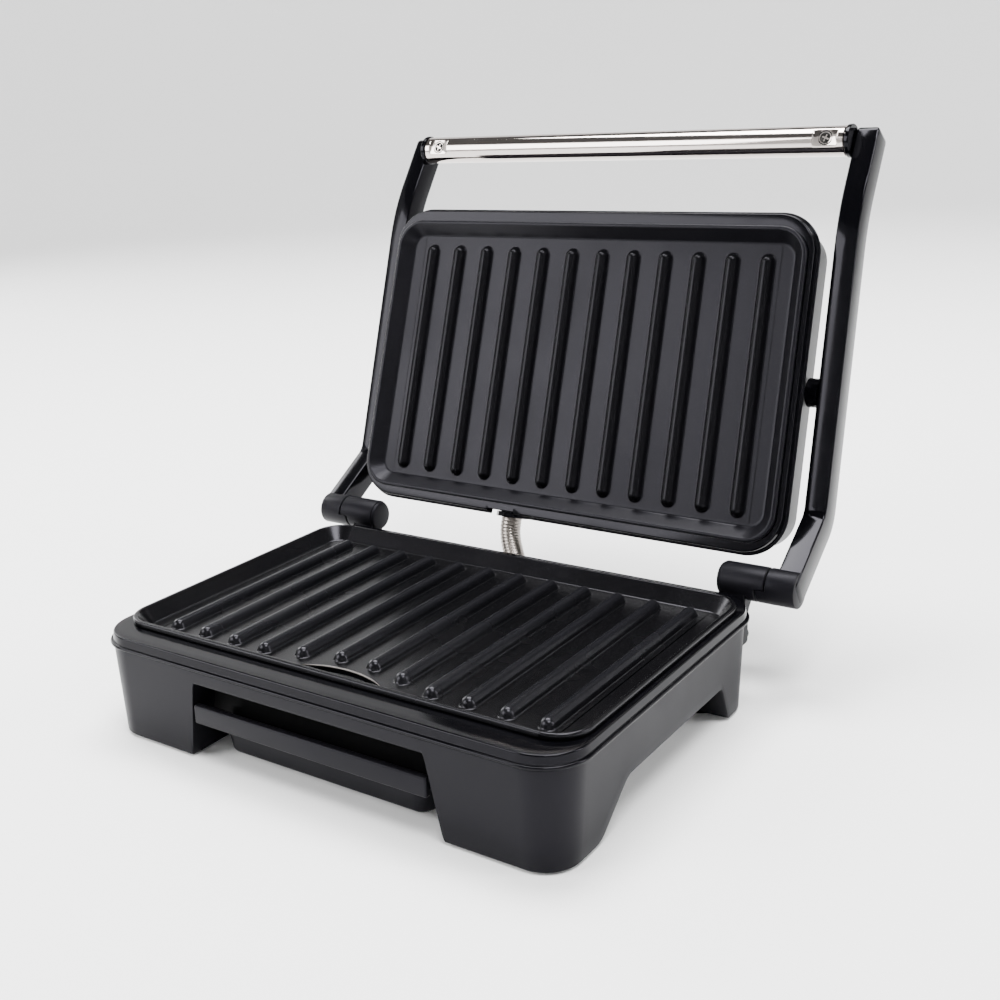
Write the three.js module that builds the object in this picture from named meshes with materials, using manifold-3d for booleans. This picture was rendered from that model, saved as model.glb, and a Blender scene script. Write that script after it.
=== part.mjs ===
// Two-slice panini press, lid open against its stop.
// Millimetres, +Z up, +X to the right of someone at the front, +Y towards the hinge.
// Working frame: X = 0 is the middle, Y = 0 the front edge of the lower plate's rim, Z = 0 the
// underside of the housing's feet. The exported group is moved so that the whole press stands
// on Z = 0 with its bounding box centred on X = Y = 0.
import * as THREE from "three";
import { mergeVertices } from "three/addons/utils/BufferGeometryUtils.js";
import Module from "manifold-3d";

const wasm = await Module();
wasm.setup();

// ---------- driving dimensions ----------
const GAP = 0.3; // between pieces that touch
const RUNNING_GAP = 0.15; // round a pin that turns
const WALL = 2.4; // moulded plastic

const PLATE_WIDTH = 246;
const PLATE_DEPTH = 153;
const PLATE_CORNER = 15;
const RIM_LIP = 2; // flat top of the plate's rim
const RIM_FLANGE = 2.5; // thickness of the rim where it lies over the bezel
const RIM_OVERHANG = 3.5; // rim beyond the plate's skirt
const DISH_DEPTH = 7;
const DISH_SLOPE = 5.5; // run of the dish's slanted wall
const PLATE_FLOOR = 2.8;
const SKIRT_DEPTH = 14;
const SKIRT_WALL = 2.6;
const RIB_COUNT = 12;
const RIB_PITCH = 18.46;
const RIB_WIDTH = 7.6;
const RIB_TOP_WIDTH = 4.6;
const RIB_HEIGHT = 4;
const RIB_FRONT_MARGIN = 13.5;
const RIB_REAR_MARGIN = 11.5;
const RIB_SETBACK = 4.5; // each step by which the middle ribs clear the drain slot
const SETBACK_STEPS = 2;
const SLOT_HALF_WIDTH = 22;
const SLOT_RISE = 5.5; // sagitta of the slot's curved rear edge
const SLOT_DEPTH = 10; // front to back at its middle

const RIM_HEIGHT = 51; // lower rim above the feet
const BEZEL_DROP = 2.8; // bezel's top below the rim
const BEZEL_HEIGHT = 5.4;
const BEZEL_EDGE = 2; // its rounded outer edge
const BEZEL_SIDE = 4.3; // how far it stands out past the plate
const BEZEL_FRONT = 13.8;
const BEZEL_REAR = 9.5;
const BEZEL_CORNER = 21;
const BEZEL_PROUD = 2.3; // bezel beyond the wall below it
const BEZEL_PROUD_FRONT = 1.2;
const HOUSING_TAPER = 3.4; // each wall leans in by this much down to the feet
const FRONT_TAPER = 1.9;
const FOOT_RISE = 18.5; // clear height between the feet
const FRONT_FOOT_DEPTH = 30;
const REAR_FOOT_DEPTH = 23;
const REAR_FOOT_WIDTH = 17;
const SIDE_CUT_FRONT_RUN = 20; // slant at the front end of each side cut-out
const SIDE_CUT_REAR_RUN = 9;
const NOTCH_BEYOND_TRAY = 12; // front notch for the tray, at the feet, past the tray's side
const NOTCH_TAPER = 6;
const NOTCH_HEIGHT = 36;
const NOTCH_CORNER = 6;
const COVER_THICKNESS = 2;
const PAN_DEPTH = 11.2; // finger recess behind the front notch
const PAN_WALL = 1.5;
const PAD_RADIUS = 6.5;
const PAD_HEIGHT = 3;
const PAD_PROUD = 1; // rubber below the feet

const TRAY_HALF_WIDTH = 57;
const NOTCH_HALF_WIDTH = TRAY_HALF_WIDTH + NOTCH_BEYOND_TRAY;
const TRAY_LENGTH = 110;
const TRAY_BOTTOM = 2.2;
const TRAY_TOP = 14;
const TRAY_WALL = 1.8;
const TRAY_FLANGE = 3.4; // side flanges that run in the rails
const LIP_HALF_WIDTH = TRAY_HALF_WIDTH + 6.5;
const LIP_BOTTOM = 17.6;
const LIP_HEIGHT = 8.7;
const LIP_THICKNESS = 3.2;
const LIP_REACH = 8.4; // front of the lip to the tray's front wall
const RAIL_WALL = 2;
const RAIL_CLEARANCE = 0.6;

const BARREL_RADIUS = 8.4;
const BARREL_TUCK = 0.6; // its front reaches in over the bezel's rear edge by this much
const HINGE_ABOVE_RIM = 0.6;
const HINGE_Y = PLATE_DEPTH + BEZEL_REAR + BARREL_RADIUS - BARREL_TUCK;
const HINGE_Z = RIM_HEIGHT + HINGE_ABOVE_RIM;
const SEAM_INSIDE_ARM = 6.1;
const BARREL_LENGTH = 20; // from its inner end to the seam
const SEAM_STEP = 4.6; // length of the stop tabs
const CAP_THICKNESS = 1.4;
const PIN_RADIUS = 3;

const ARM_GAP = 3.4; // between the lid's side and each arm
const ARM_INNER_X = PLATE_WIDTH / 2 + BEZEL_SIDE + ARM_GAP;
const SEAM_X = ARM_INNER_X - SEAM_INSIDE_ARM; // middle of the stepped seam between barrel and lug
const BARREL_INNER_X = SEAM_X - BARREL_LENGTH;
const ARM_WIDTH = 11;
const ARM_DEPTH = 13.4;
const ARM_EDGE = 0.9;
const ARM_LOWER = { length: 42.8, angle: 30.8 }; // from the hinge, degrees above +Y
const ARM_SHORT_OF_PLATE = 7; // the long stretch is this much shorter than the plate is deep
const ARM_LONG = { length: PLATE_DEPTH - ARM_SHORT_OF_PLATE, angle: 71.4 };
const ARM_UPPER = { length: 48.3, angle: 54.9 };
const PIVOT_ALONG = 60; // lid pivot from the lower knee
const PIVOT_RADIUS = 4.4;
const PIVOT_BOSS_RADIUS = 7.2;
const PIVOT_CAP_RADIUS = 6.3;

const HANDLE_RADIUS = 7.7;
const HANDLE_WALL = 1.2;
const HANDLE_BACK_FROM_END = 9; // handle axis from the arm's end, along its upper stretch
const COLLAR_THICKNESS = 2.3;
const HANDLE_SCREW_INSET = 9.5;
const HANDLE_FLAT = 1.9; // depth of the flat under each screw
const SCREW_HEAD_RADIUS = 3.2;
const SCREW_SHANK_RADIUS = 1.5;

const LID_LEAN = 19.5; // degrees behind upright in the open pose
const LID_BEZEL_REAR = 6.2; // lid bezel beyond the plate, at the hinge side and at the front
const LID_BEZEL_FRONT = 8;
const LID_THICKNESS = 36; // rim plane to the back of the cover
const LID_TAPER = 2.5;
const LID_CHAMFER = 5;
const CLOSED_GAP = 4.8; // between the two rims when the arms meet their stop

const CONDUIT_RADIUS = 5.5;
const CONDUIT_LID_X = -30;
const CONDUIT_LID_DEPTH = 15.5;
const CONDUIT_BASE_X = -15;
const CONDUIT_BASE_Z = 30;
const CONDUIT_NOTCH_HALF = 8;
const CORD_X = 70;
const CORD_Z = 29;

const ELEMENT_RADIUS = 3.2;
const ELEMENT_INSET = 27;
const REFLECTOR_DROP = 20; // reflector below the rim plane
const REFLECTOR_THICKNESS = 0.8;
const PLATE_SCREW_X = 55;

const CORNER_STEPS = 3; // half the segments in a quarter turn of an outline
const SMALL_STEPS = 1; // the same for small round ends
const ROUND_STEPS = 24; // segments round a cylinder
const SMALL_ROUND_STEPS = 12; // and round a screw or a lens

// ---------- materials ----------
const finish = (color, roughness, metalness = 0) =>
  new THREE.MeshStandardMaterial({ color, roughness, metalness });
const FINISH = {
  satin: () => finish(0x1d1d20, 0.45),
  gloss: () => finish(0x0a0a0b, 0.15),
  nonstick: () => finish(0x151516, 0.3, 0.3),
  chrome: () => finish(0xd8d6d2, 0.08, 1),
  steel: () => finish(0x8d8b88, 0.35, 1),
  sheet: () => finish(0xb9bcbf, 0.3, 1),
  rubber: () => finish(0x181818, 0.9),
  screw: () => finish(0x2a2a2c, 0.4, 0.9),
  ceramic: () => finish(0xd9d3c6, 0.7),
  redLens: () => finish(0xb01010, 0.2),
  greenLens: () => finish(0x109030, 0.2),
};

// ---------- solids ----------
// A closed three.js geometry as a manifold solid.
function solidOf(geometry) {
  const bare = geometry.index ? geometry.toNonIndexed() : geometry.clone();
  bare.deleteAttribute("normal");
  bare.deleteAttribute("uv");
  const merged = mergeVertices(bare, 1e-4);
  return new wasm.Manifold(
    new wasm.Mesh({
      numProp: 3,
      vertProperties: merged.attributes.position.array,
      triVerts: new Uint32Array(merged.index.array),
    }),
  );
}

function geometryOf(solid) {
  const { vertProperties, triVerts } = solid.getMesh();
  const geometry = new THREE.BufferGeometry();
  geometry.setAttribute("position", new THREE.BufferAttribute(new Float32Array(vertProperties), 3));
  geometry.setIndex(new THREE.BufferAttribute(new Uint32Array(triVerts), 1));
  geometry.computeVertexNormals();
  return geometry;
}

// Turns a geometry drawn in its local XY plane so that it runs along world X or Y.
const ALONG_X = new THREE.Matrix4().makeBasis(
  new THREE.Vector3(0, 1, 0),
  new THREE.Vector3(0, 0, 1),
  new THREE.Vector3(1, 0, 0),
);
const ALONG_Y = new THREE.Matrix4().makeBasis(
  new THREE.Vector3(0, 0, 1),
  new THREE.Vector3(1, 0, 0),
  new THREE.Vector3(0, 1, 0),
);

const extrude = (shape, length, options = {}) =>
  new THREE.ExtrudeGeometry(shape, {
    depth: length,
    bevelEnabled: false,
    curveSegments: CORNER_STEPS,
    ...options,
  });
const prism = (shape, z0, z1) => solidOf(extrude(shape, z1 - z0).translate(0, 0, z0));
// A (y, z) profile swept along X, and a (z, x) profile swept along Y.
const prismX = (shape, x0, x1) =>
  solidOf(extrude(shape, x1 - x0).applyMatrix4(ALONG_X).translate(x0, 0, 0));
const prismY = (shape, y0, y1) =>
  solidOf(extrude(shape, y1 - y0).applyMatrix4(ALONG_Y).translate(0, y0, 0));

function box(x0, x1, y0, y1, z0, z1) {
  const geometry = new THREE.BoxGeometry(x1 - x0, y1 - y0, z1 - z0);
  return solidOf(geometry.translate((x0 + x1) / 2, (y0 + y1) / 2, (z0 + z1) / 2));
}

function cylinder(radius, length) {
  const steps = radius < SCREW_HEAD_RADIUS ? SMALL_ROUND_STEPS : ROUND_STEPS;
  return new THREE.CylinderGeometry(radius, radius, length, steps);
}
// Cylinders along each axis; the first three numbers are the middle of the low end.
const cylinderX = (x, y, z, radius, length) =>
  solidOf(cylinder(radius, length).rotateZ(-Math.PI / 2).translate(x + length / 2, y, z));
const cylinderY = (x, y, z, radius, length) =>
  solidOf(cylinder(radius, length).translate(x, y + length / 2, z));
const cylinderZ = (x, y, z, radius, length) =>
  solidOf(cylinder(radius, length).rotateX(Math.PI / 2).translate(x, y, z + length / 2));

// A turned piece whose axis is +Z through the origin; profile points are [radius, z].
function turned(profile, steps = SMALL_ROUND_STEPS) {
  const points = profile.map(([radius, z]) => new THREE.Vector2(radius, z));
  return new THREE.LatheGeometry(points, steps).rotateX(Math.PI / 2);
}

const polygon = (points) => new THREE.Shape(points.map(([a, b]) => new THREE.Vector2(a, b)));

// A polygon whose corners are rounded by curves that start `radius` from each corner.
function softPolygon(points, radius) {
  const shape = new THREE.Shape();
  points.forEach(([x, y], i) => {
    const corner = new THREE.Vector2(x, y);
    const before = new THREE.Vector2(...points.at(i - 1)).sub(corner);
    const after = new THREE.Vector2(...points[(i + 1) % points.length]).sub(corner);
    const start = corner.clone().add(before.setLength(radius));
    const end = corner.clone().add(after.setLength(radius));
    if (i === 0) shape.moveTo(start.x, start.y);
    else shape.lineTo(start.x, start.y);
    shape.quadraticCurveTo(x, y, end.x, end.y);
  });
  shape.closePath();
  return shape;
}

// ---------- rounded rectangular outlines ----------
const outline = (halfWidth, y0, y1, r) => ({ halfWidth, y0, y1, r });
const inset = (o, by) => outline(o.halfWidth - by, o.y0 + by, o.y1 - by, Math.max(o.r - by, 1));
const mix = (a, b, t) =>
  outline(
    THREE.MathUtils.lerp(a.halfWidth, b.halfWidth, t),
    THREE.MathUtils.lerp(a.y0, b.y0, t),
    THREE.MathUtils.lerp(a.y1, b.y1, t),
    THREE.MathUtils.lerp(a.r, b.r, t),
  );

function outlineShape({ halfWidth: w, y0, y1, r }) {
  const shape = new THREE.Shape();
  shape.absarc(w - r, y0 + r, r, -Math.PI / 2, 0);
  shape.absarc(w - r, y1 - r, r, 0, Math.PI / 2);
  shape.absarc(r - w, y1 - r, r, Math.PI / 2, Math.PI);
  shape.absarc(r - w, y0 + r, r, Math.PI, Math.PI * 1.5);
  return shape;
}
const slab = (o, z0, z1) => prism(outlineShape(o), z0, z1);

// A slab whose outline changes evenly from `low` at z0 to `high` at z1.
function frustum(low, high, z0, z1, steps = CORNER_STEPS) {
  const geometry = extrude(outlineShape(low), 1, { curveSegments: steps });
  const from = outlineShape(low).getPoints(steps);
  const to = outlineShape(high).getPoints(steps);
  const position = geometry.attributes.position;
  for (let i = 0; i < position.count; i++) {
    const isTop = position.getZ(i) > 0.5;
    const here = new THREE.Vector2(position.getX(i), position.getY(i));
    const nearest = from.reduce((a, b) => (here.distanceTo(b) < here.distanceTo(a) ? b : a));
    const moved = isTop ? to[from.indexOf(nearest)] : here;
    position.setXYZ(i, moved.x, moved.y, isTop ? z1 : z0);
  }
  return solidOf(geometry);
}

// A slab with its upper and lower outside edges rounded.
function roundedSlab(o, z0, z1, edge) {
  const bevel = {
    bevelEnabled: true,
    bevelThickness: edge,
    bevelSize: edge,
    bevelOffset: -edge,
    bevelSegments: 2,
  };
  return solidOf(extrude(outlineShape(o), z1 - z0 - 2 * edge, bevel).translate(0, 0, z0 + edge));
}

// ---------- places worked out from the driving dimensions ----------
const degrees = THREE.MathUtils.degToRad;
const along = ({ length, angle }, [y, z], distance = length) => [
  y + distance * Math.cos(degrees(angle)),
  z + distance * Math.sin(degrees(angle)),
];
const HINGE = [HINGE_Y, HINGE_Z];
const LOWER_KNEE = along(ARM_LOWER, HINGE);
const UPPER_KNEE = along(ARM_LONG, LOWER_KNEE);
const ARM_END = along(ARM_UPPER, UPPER_KNEE);
const PIVOT = along(ARM_LONG, LOWER_KNEE, PIVOT_ALONG);
const ARM_OUTER_X = ARM_INNER_X + ARM_WIDTH;

// Closing the lid turns it from its lean to face down; that fixes where the pivots end up, and
// the lid hangs on them so that its plate then lies straight above the lower one.
const HINGE_RANGE = 90 + LID_LEAN;
const turnedPivot = new THREE.Vector2(PIVOT[0] - HINGE_Y, PIVOT[1] - HINGE_Z).rotateAround(
  new THREE.Vector2(),
  degrees(HINGE_RANGE),
);
const PIVOT_DEPTH = HINGE_Z + turnedPivot.y - RIM_HEIGHT - CLOSED_GAP;
const PIVOT_UP_LID = PLATE_DEPTH - (HINGE_Y + turnedPivot.x);
// Lid frame: x as the press, y from the hinge side up the lid, z out of its grill plate.
const LID_TURN = degrees(90 - LID_LEAN);
const lidOffset = new THREE.Vector3(0, PIVOT_UP_LID, -PIVOT_DEPTH).applyAxisAngle(
  new THREE.Vector3(1, 0, 0),
  LID_TURN,
);
const LID_ORIGIN = new THREE.Vector3(0, PIVOT[0], PIVOT[1]).sub(lidOffset);

const RIM = outline(PLATE_WIDTH / 2, 0, PLATE_DEPTH, PLATE_CORNER);
const SKIRT = inset(RIM, RIM_OVERHANG);
const bezelOutline = (y0, y1) => outline(RIM.halfWidth + BEZEL_SIDE, y0, y1, BEZEL_CORNER);
const BASE_BEZEL = bezelOutline(-BEZEL_FRONT, PLATE_DEPTH + BEZEL_REAR);
const LID_BEZEL = bezelOutline(-LID_BEZEL_REAR, PLATE_DEPTH + LID_BEZEL_FRONT);
const BEZEL_BOTTOM = BEZEL_DROP + BEZEL_HEIGHT; // below the rim plane
const HOUSING_TOP = RIM_HEIGHT - BEZEL_BOTTOM - GAP;
const HOUSING_RIM = { ...inset(BASE_BEZEL, BEZEL_PROUD), y0: BASE_BEZEL.y0 + BEZEL_PROUD_FRONT };
const FEET = { ...inset(HOUSING_RIM, HOUSING_TAPER), y0: HOUSING_RIM.y0 + FRONT_TAPER };
const housingOutline = (z) => mix(FEET, HOUSING_RIM, z / HOUSING_TOP);
const COVER_Z = FOOT_RISE;
const COVER_TOP = COVER_Z + COVER_THICKNESS;
const REFLECTOR_FRONT = RIM_OVERHANG + SKIRT_WALL + SLOT_DEPTH + 8;

// ---------- grill plates (z = 0 at the rim plane, y = 0 at one edge) ----------
const SLOT_FRONT = RIM_LIP + DISH_SLOPE + 1;
const slotRadius = (SLOT_HALF_WIDTH ** 2 + SLOT_RISE ** 2) / (2 * SLOT_RISE);

// A rib with round ends and leaning sides, standing on z = -DISH_DEPTH.
function rib(x, y0, y1) {
  const foot = outline(RIB_WIDTH / 2, y0, y1, RIB_WIDTH / 2 - 0.01);
  const top = inset(foot, (RIB_WIDTH - RIB_TOP_WIDTH) / 2);
  const sunk = 0.2;
  return frustum(foot, top, -DISH_DEPTH - sunk, RIB_HEIGHT - DISH_DEPTH, SMALL_STEPS).translate([x, 0, 0]);
}

function platePost(x) {
  return cylinderZ(x, PLATE_DEPTH / 2, 1 - REFLECTOR_DROP, 4, REFLECTOR_DROP - DISH_DEPTH - 2);
}

function grillPlate(ribSpan) {
  const floorInset = RIM_LIP + DISH_SLOPE;
  const above = 1;
  const dishTop = inset(RIM, RIM_LIP - (DISH_SLOPE * above) / DISH_DEPTH);
  const underside = -DISH_DEPTH - PLATE_FLOOR;
  let plate = slab(RIM, -RIM_FLANGE, 0)
    .add(slab(SKIRT, -SKIRT_DEPTH, -RIM_FLANGE / 2))
    .subtract(frustum(inset(RIM, floorInset), dishTop, -DISH_DEPTH, above))
    .subtract(slab(inset(SKIRT, SKIRT_WALL), -SKIRT_DEPTH - 1, underside));
  for (let i = 0; i < RIB_COUNT; i++) {
    const fromMiddle = i - (RIB_COUNT - 1) / 2;
    const [y0, y1] = ribSpan(Math.floor(Math.abs(fromMiddle)));
    plate = plate.add(rib(fromMiddle * RIB_PITCH, y0, y1));
  }
  for (const x of [-PLATE_SCREW_X, PLATE_SCREW_X]) {
    const hole = cylinderZ(x, PLATE_DEPTH / 2, -REFLECTOR_DROP, SCREW_SHANK_RADIUS + GAP,
      REFLECTOR_DROP + underside);
    plate = plate.add(platePost(x)).subtract(hole);
  }
  return plate;
}

// The crescent through which fat runs out of the lower plate.
function drainSlot() {
  const rear = SLOT_FRONT + SLOT_DEPTH;
  const centre = rear - slotRadius;
  const half = Math.asin(SLOT_HALF_WIDTH / slotRadius);
  const shape = new THREE.Shape();
  shape.moveTo(-SLOT_HALF_WIDTH, SLOT_FRONT);
  shape.lineTo(SLOT_HALF_WIDTH, SLOT_FRONT);
  shape.absarc(0, centre, slotRadius, Math.PI / 2 - half, Math.PI / 2 + half);
  return prism(shape, -SKIRT_DEPTH, -DISH_DEPTH / 2);
}

const lowerPlate = () =>
  grillPlate((order) => [
    RIB_FRONT_MARGIN + RIB_SETBACK * Math.max(0, SETBACK_STEPS - order),
    PLATE_DEPTH - RIB_REAR_MARGIN,
  ]).subtract(drainSlot());
const upperPlate = () => grillPlate(() => [RIB_REAR_MARGIN, PLATE_DEPTH - RIB_FRONT_MARGIN]);

// The glossy ring round a plate; the rim lies over its inner edge.
const bezel = (o) =>
  roundedSlab(o, -BEZEL_BOTTOM, -BEZEL_DROP, BEZEL_EDGE).subtract(
    slab(inset(SKIRT, -2 * GAP), -BEZEL_BOTTOM - 1, 0),
  );

// ---------- heating (z = 0 at the rim plane) ----------
const ELEMENT_Z = -DISH_DEPTH - PLATE_FLOOR - ELEMENT_RADIUS - GAP;

function heatingElement() {
  const x = RIM.halfWidth - ELEMENT_INSET;
  const near = ELEMENT_INSET;
  const far = PLATE_DEPTH - ELEMENT_INSET;
  const turn = 14;
  const at = (px, py) => new THREE.Vector3(px, py, ELEMENT_Z);
  const path = new THREE.CurvePath();
  path.add(new THREE.LineCurve3(at(-x + 30, near), at(-x + turn, near)));
  path.add(new THREE.QuadraticBezierCurve3(at(-x + turn, near), at(-x, near), at(-x, near + turn)));
  path.add(new THREE.LineCurve3(at(-x, near + turn), at(-x, far - turn)));
  path.add(new THREE.QuadraticBezierCurve3(at(-x, far - turn), at(-x, far), at(-x + turn, far)));
  path.add(new THREE.LineCurve3(at(-x + turn, far), at(x - turn, far)));
  path.add(new THREE.QuadraticBezierCurve3(at(x - turn, far), at(x, far), at(x, far - turn)));
  path.add(new THREE.LineCurve3(at(x, far - turn), at(x, near + turn)));
  path.add(new THREE.QuadraticBezierCurve3(at(x, near + turn), at(x, near), at(x - turn, near)));
  path.add(new THREE.LineCurve3(at(x - turn, near), at(x - 30, near)));
  const section = new THREE.Shape().absarc(0, 0, ELEMENT_RADIUS, 0, Math.PI * 2);
  return solidOf(extrude(section, 1, { extrudePath: path, steps: 32, curveSegments: 4 }));
}

function reflector(front) {
  const sheet = outline(SKIRT.halfWidth - SKIRT_WALL - 3, front, PLATE_DEPTH - 10, 6);
  let solid = slab(sheet, -REFLECTOR_DROP, REFLECTOR_THICKNESS - REFLECTOR_DROP);
  for (const x of [-PLATE_SCREW_X, PLATE_SCREW_X])
    solid = solid.subtract(
      cylinderZ(x, PLATE_DEPTH / 2, -REFLECTOR_DROP - 1, SCREW_SHANK_RADIUS + GAP, 3),
    );
  return solid;
}

const THERMOSTAT_RADIUS = 8;
function thermostat(x) {
  const bottom = REFLECTOR_THICKNESS - REFLECTOR_DROP + GAP;
  const top = -DISH_DEPTH - PLATE_FLOOR - GAP;
  return cylinderZ(x, PLATE_DEPTH / 2, bottom, THERMOSTAT_RADIUS, top - bottom);
}

// A pan-head screw with a cross recess, pointing up, its head's seat at z = 0.
function screw(length) {
  const head = 1.7;
  const recess = 0.9;
  const arm = SCREW_HEAD_RADIUS * 0.6;
  const slot = 0.45;
  const body = solidOf(
    turned([
      [0, -head],
      [SCREW_HEAD_RADIUS - 0.6, -head],
      [SCREW_HEAD_RADIUS, 0.6 - head],
      [SCREW_HEAD_RADIUS, 0],
      [SCREW_SHANK_RADIUS, 0],
      [SCREW_SHANK_RADIUS, length],
      [0, length],
    ]),
  );
  return body
    .subtract(box(-arm, arm, -slot, slot, -head - 1, recess - head))
    .subtract(box(-slot, slot, -arm, arm, -head - 1, recess - head));
}
const plateScrew = (x) =>
  screw(7).translate([x, PLATE_DEPTH / 2, -REFLECTOR_DROP - GAP]);

// ---------- base ----------
const sideCutShape = () => {
  const front = FEET.y0 + FRONT_FOOT_DEPTH;
  const rear = FEET.y1 - REAR_FOOT_DEPTH;
  return polygon([
    [front, 0],
    [front, -1],
    [rear, -1],
    [rear, 0],
    [rear - SIDE_CUT_REAR_RUN, FOOT_RISE],
    [front + SIDE_CUT_FRONT_RUN, FOOT_RISE],
  ]);
};
// Drawn as (z, x) pairs for prismY.
const notchShape = () => {
  const slope = NOTCH_TAPER / NOTCH_HEIGHT;
  const low = NOTCH_HALF_WIDTH + slope * NOTCH_CORNER;
  const high = NOTCH_HALF_WIDTH - NOTCH_TAPER;
  return softPolygon(
    [
      [-NOTCH_CORNER, -low],
      [NOTCH_HEIGHT, -high],
      [NOTCH_HEIGHT, high],
      [-NOTCH_CORNER, low],
    ],
    NOTCH_CORNER,
  );
};

const COVER_SCREW_INSET = 12;
const coverScrewPlaces = () => {
  const x = housingOutline(COVER_Z).halfWidth - COVER_SCREW_INSET;
  const front = FEET.y0 + FRONT_FOOT_DEPTH + SIDE_CUT_FRONT_RUN + COVER_SCREW_INSET;
  const rear = FEET.y1 - REAR_FOOT_DEPTH - SIDE_CUT_REAR_RUN - COVER_SCREW_INSET;
  return { front_left: [-x, front], front_right: [x, front], rear_left: [-x, rear], rear_right: [x, rear] };
};
const REAR_FOOT_INNER = FEET.halfWidth - REAR_FOOT_WIDTH;
const HINGE_SCREW_Z = [27, 35];
const BRACKET_MID_X = (BARREL_INNER_X + SEAM_X) / 2 - 1;

function baseHousing() {
  const inside = (z) => inset(housingOutline(z), WALL);
  const past = HOUSING_TOP + 1;
  const deep = BASE_BEZEL.y1 + 20;
  const wide = BASE_BEZEL.halfWidth + 10;
  const cavityFloor = FOOT_RISE - 0.5;
  let solid = frustum(FEET, HOUSING_RIM, 0, HOUSING_TOP)
    .subtract(frustum(inside(cavityFloor), inside(past), cavityFloor, past))
    .subtract(prismX(sideCutShape(), -wide, wide))
    .subtract(prismY(notchShape(), BASE_BEZEL.y0 - 10, PLATE_DEPTH / 2))
    .subtract(box(-REAR_FOOT_INNER, REAR_FOOT_INNER, PLATE_DEPTH / 2, deep, -1, FOOT_RISE));
  for (const [x, y] of Object.values(coverScrewPlaces())) {
    const boss = cylinderZ(x, y, COVER_TOP + GAP, 4.2, 9);
    const outward = Math.sign(x) * (COVER_SCREW_INSET - 1);
    const web = box(Math.min(x, x + outward), Math.max(x, x + outward), y - 1, y + 1,
      COVER_TOP + GAP, COVER_TOP + 8);
    const hole = cylinderZ(x, y, COVER_TOP, SCREW_SHANK_RADIUS + 0.1, 8);
    solid = solid.add(boss).add(web).subtract(hole);
  }
  const wallInside = FEET.y1 - 8;
  solid = solid
    .subtract(cylinderY(CONDUIT_BASE_X, wallInside, CONDUIT_BASE_Z, CONDUIT_RADIUS + 1.7, 30))
    .subtract(cylinderY(CORD_X, wallInside, CORD_Z, 5.2, 30));
  for (const side of [-1, 1])
    for (const z of HINGE_SCREW_Z)
      solid = solid.subtract(
        cylinderY(side * BRACKET_MID_X, wallInside, z, SCREW_SHANK_RADIUS + GAP, 30),
      );
  return solid;
}

const CHUTE = { halfWidth: SLOT_HALF_WIDTH + 2.2, y0: RIM_OVERHANG + SKIRT_WALL + 2 * GAP, wall: 1.2 };
CHUTE.y1 = SLOT_FRONT + SLOT_DEPTH + 3.4;
const CHUTE_BOTTOM = COVER_Z;
const CHUTE_TOP = RIM_HEIGHT - DISH_DEPTH - PLATE_FLOOR - 2 * GAP;

function drainChute() {
  const { halfWidth: w, y0, y1, wall } = CHUTE;
  return box(-w, w, y0, y1, CHUTE_BOTTOM, CHUTE_TOP).subtract(
    box(wall - w, w - wall, y0 + wall, y1 - wall, CHUTE_BOTTOM - 1, CHUTE_TOP + 1),
  );
}

// Closes the housing from below and forms the finger recess behind the tray's lip.
function bottomCover() {
  const panel = inset(housingOutline(COVER_Z), WALL + 2 * GAP);
  const panWidth = NOTCH_HALF_WIDTH + PAN_WALL + 1;
  const panFront = panel.y0 + 0.2;
  const panRear = panFront + PAN_DEPTH;
  const panTop = NOTCH_HEIGHT + PAN_WALL + 1;
  const { halfWidth: w, y0, y1 } = CHUTE;
  let solid = slab(panel, COVER_Z, COVER_TOP)
    .add(box(-panWidth, panWidth, panFront, panRear, COVER_Z, panTop))
    .subtract(
      box(PAN_WALL - panWidth, panWidth - PAN_WALL, panFront - 5, panRear - PAN_WALL,
        COVER_Z - 1, panTop - PAN_WALL),
    )
    .subtract(box(-w - GAP, w + GAP, y0 - GAP, y1 + GAP, COVER_Z - 1, COVER_TOP + 1));
  for (const [x, y] of Object.values(coverScrewPlaces()))
    solid = solid.subtract(cylinderZ(x, y, COVER_Z - 1, SCREW_SHANK_RADIUS + GAP, 5));
  return solid;
}

function footPad(x, y) {
  const solid = cylinderZ(x, y, -PAD_PROUD, PAD_RADIUS, PAD_HEIGHT);
  return solid;
}
const footPadPlaces = () => {
  const front = FEET.y0 + FRONT_FOOT_DEPTH / 2;
  const rear = FEET.y1 - REAR_FOOT_DEPTH / 2 + 1;
  const rearX = FEET.halfWidth - REAR_FOOT_WIDTH / 2 - 1;
  const frontX = (NOTCH_HALF_WIDTH + FEET.halfWidth) / 2;
  return { front_left: [-frontX, front], front_right: [frontX, front],
    rear_left: [-rearX, rear], rear_right: [rearX, rear] };
};
const padSocket = (x, y) => cylinderZ(x, y, -1, PAD_RADIUS + GAP, PAD_HEIGHT - PAD_PROUD + GAP + 1);

// ---------- hinge ----------
const TAB_ANGLE = (360 - HINGE_RANGE) / 2 - 2; // two stop tabs, 2 degrees of play at each limit
const TAB_START = 66; // where the fixed tab begins, degrees above +Y
const tabShape = (from) => {
  const shape = new THREE.Shape();
  shape.moveTo(0, 0);
  shape.absarc(0, 0, BARREL_RADIUS * 2, degrees(from), degrees(from + TAB_ANGLE));
  return shape;
};
const seamSector = (from) =>
  prismX(tabShape(from), SEAM_X - SEAM_STEP, SEAM_X + SEAM_STEP).translate([0, HINGE_Y, HINGE_Z]);
const ringX = (x0, x1) => cylinderX(x0, HINGE_Y, HINGE_Z, BARREL_RADIUS, x1 - x0);
const HALF_STEP = SEAM_STEP / 2;

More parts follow.
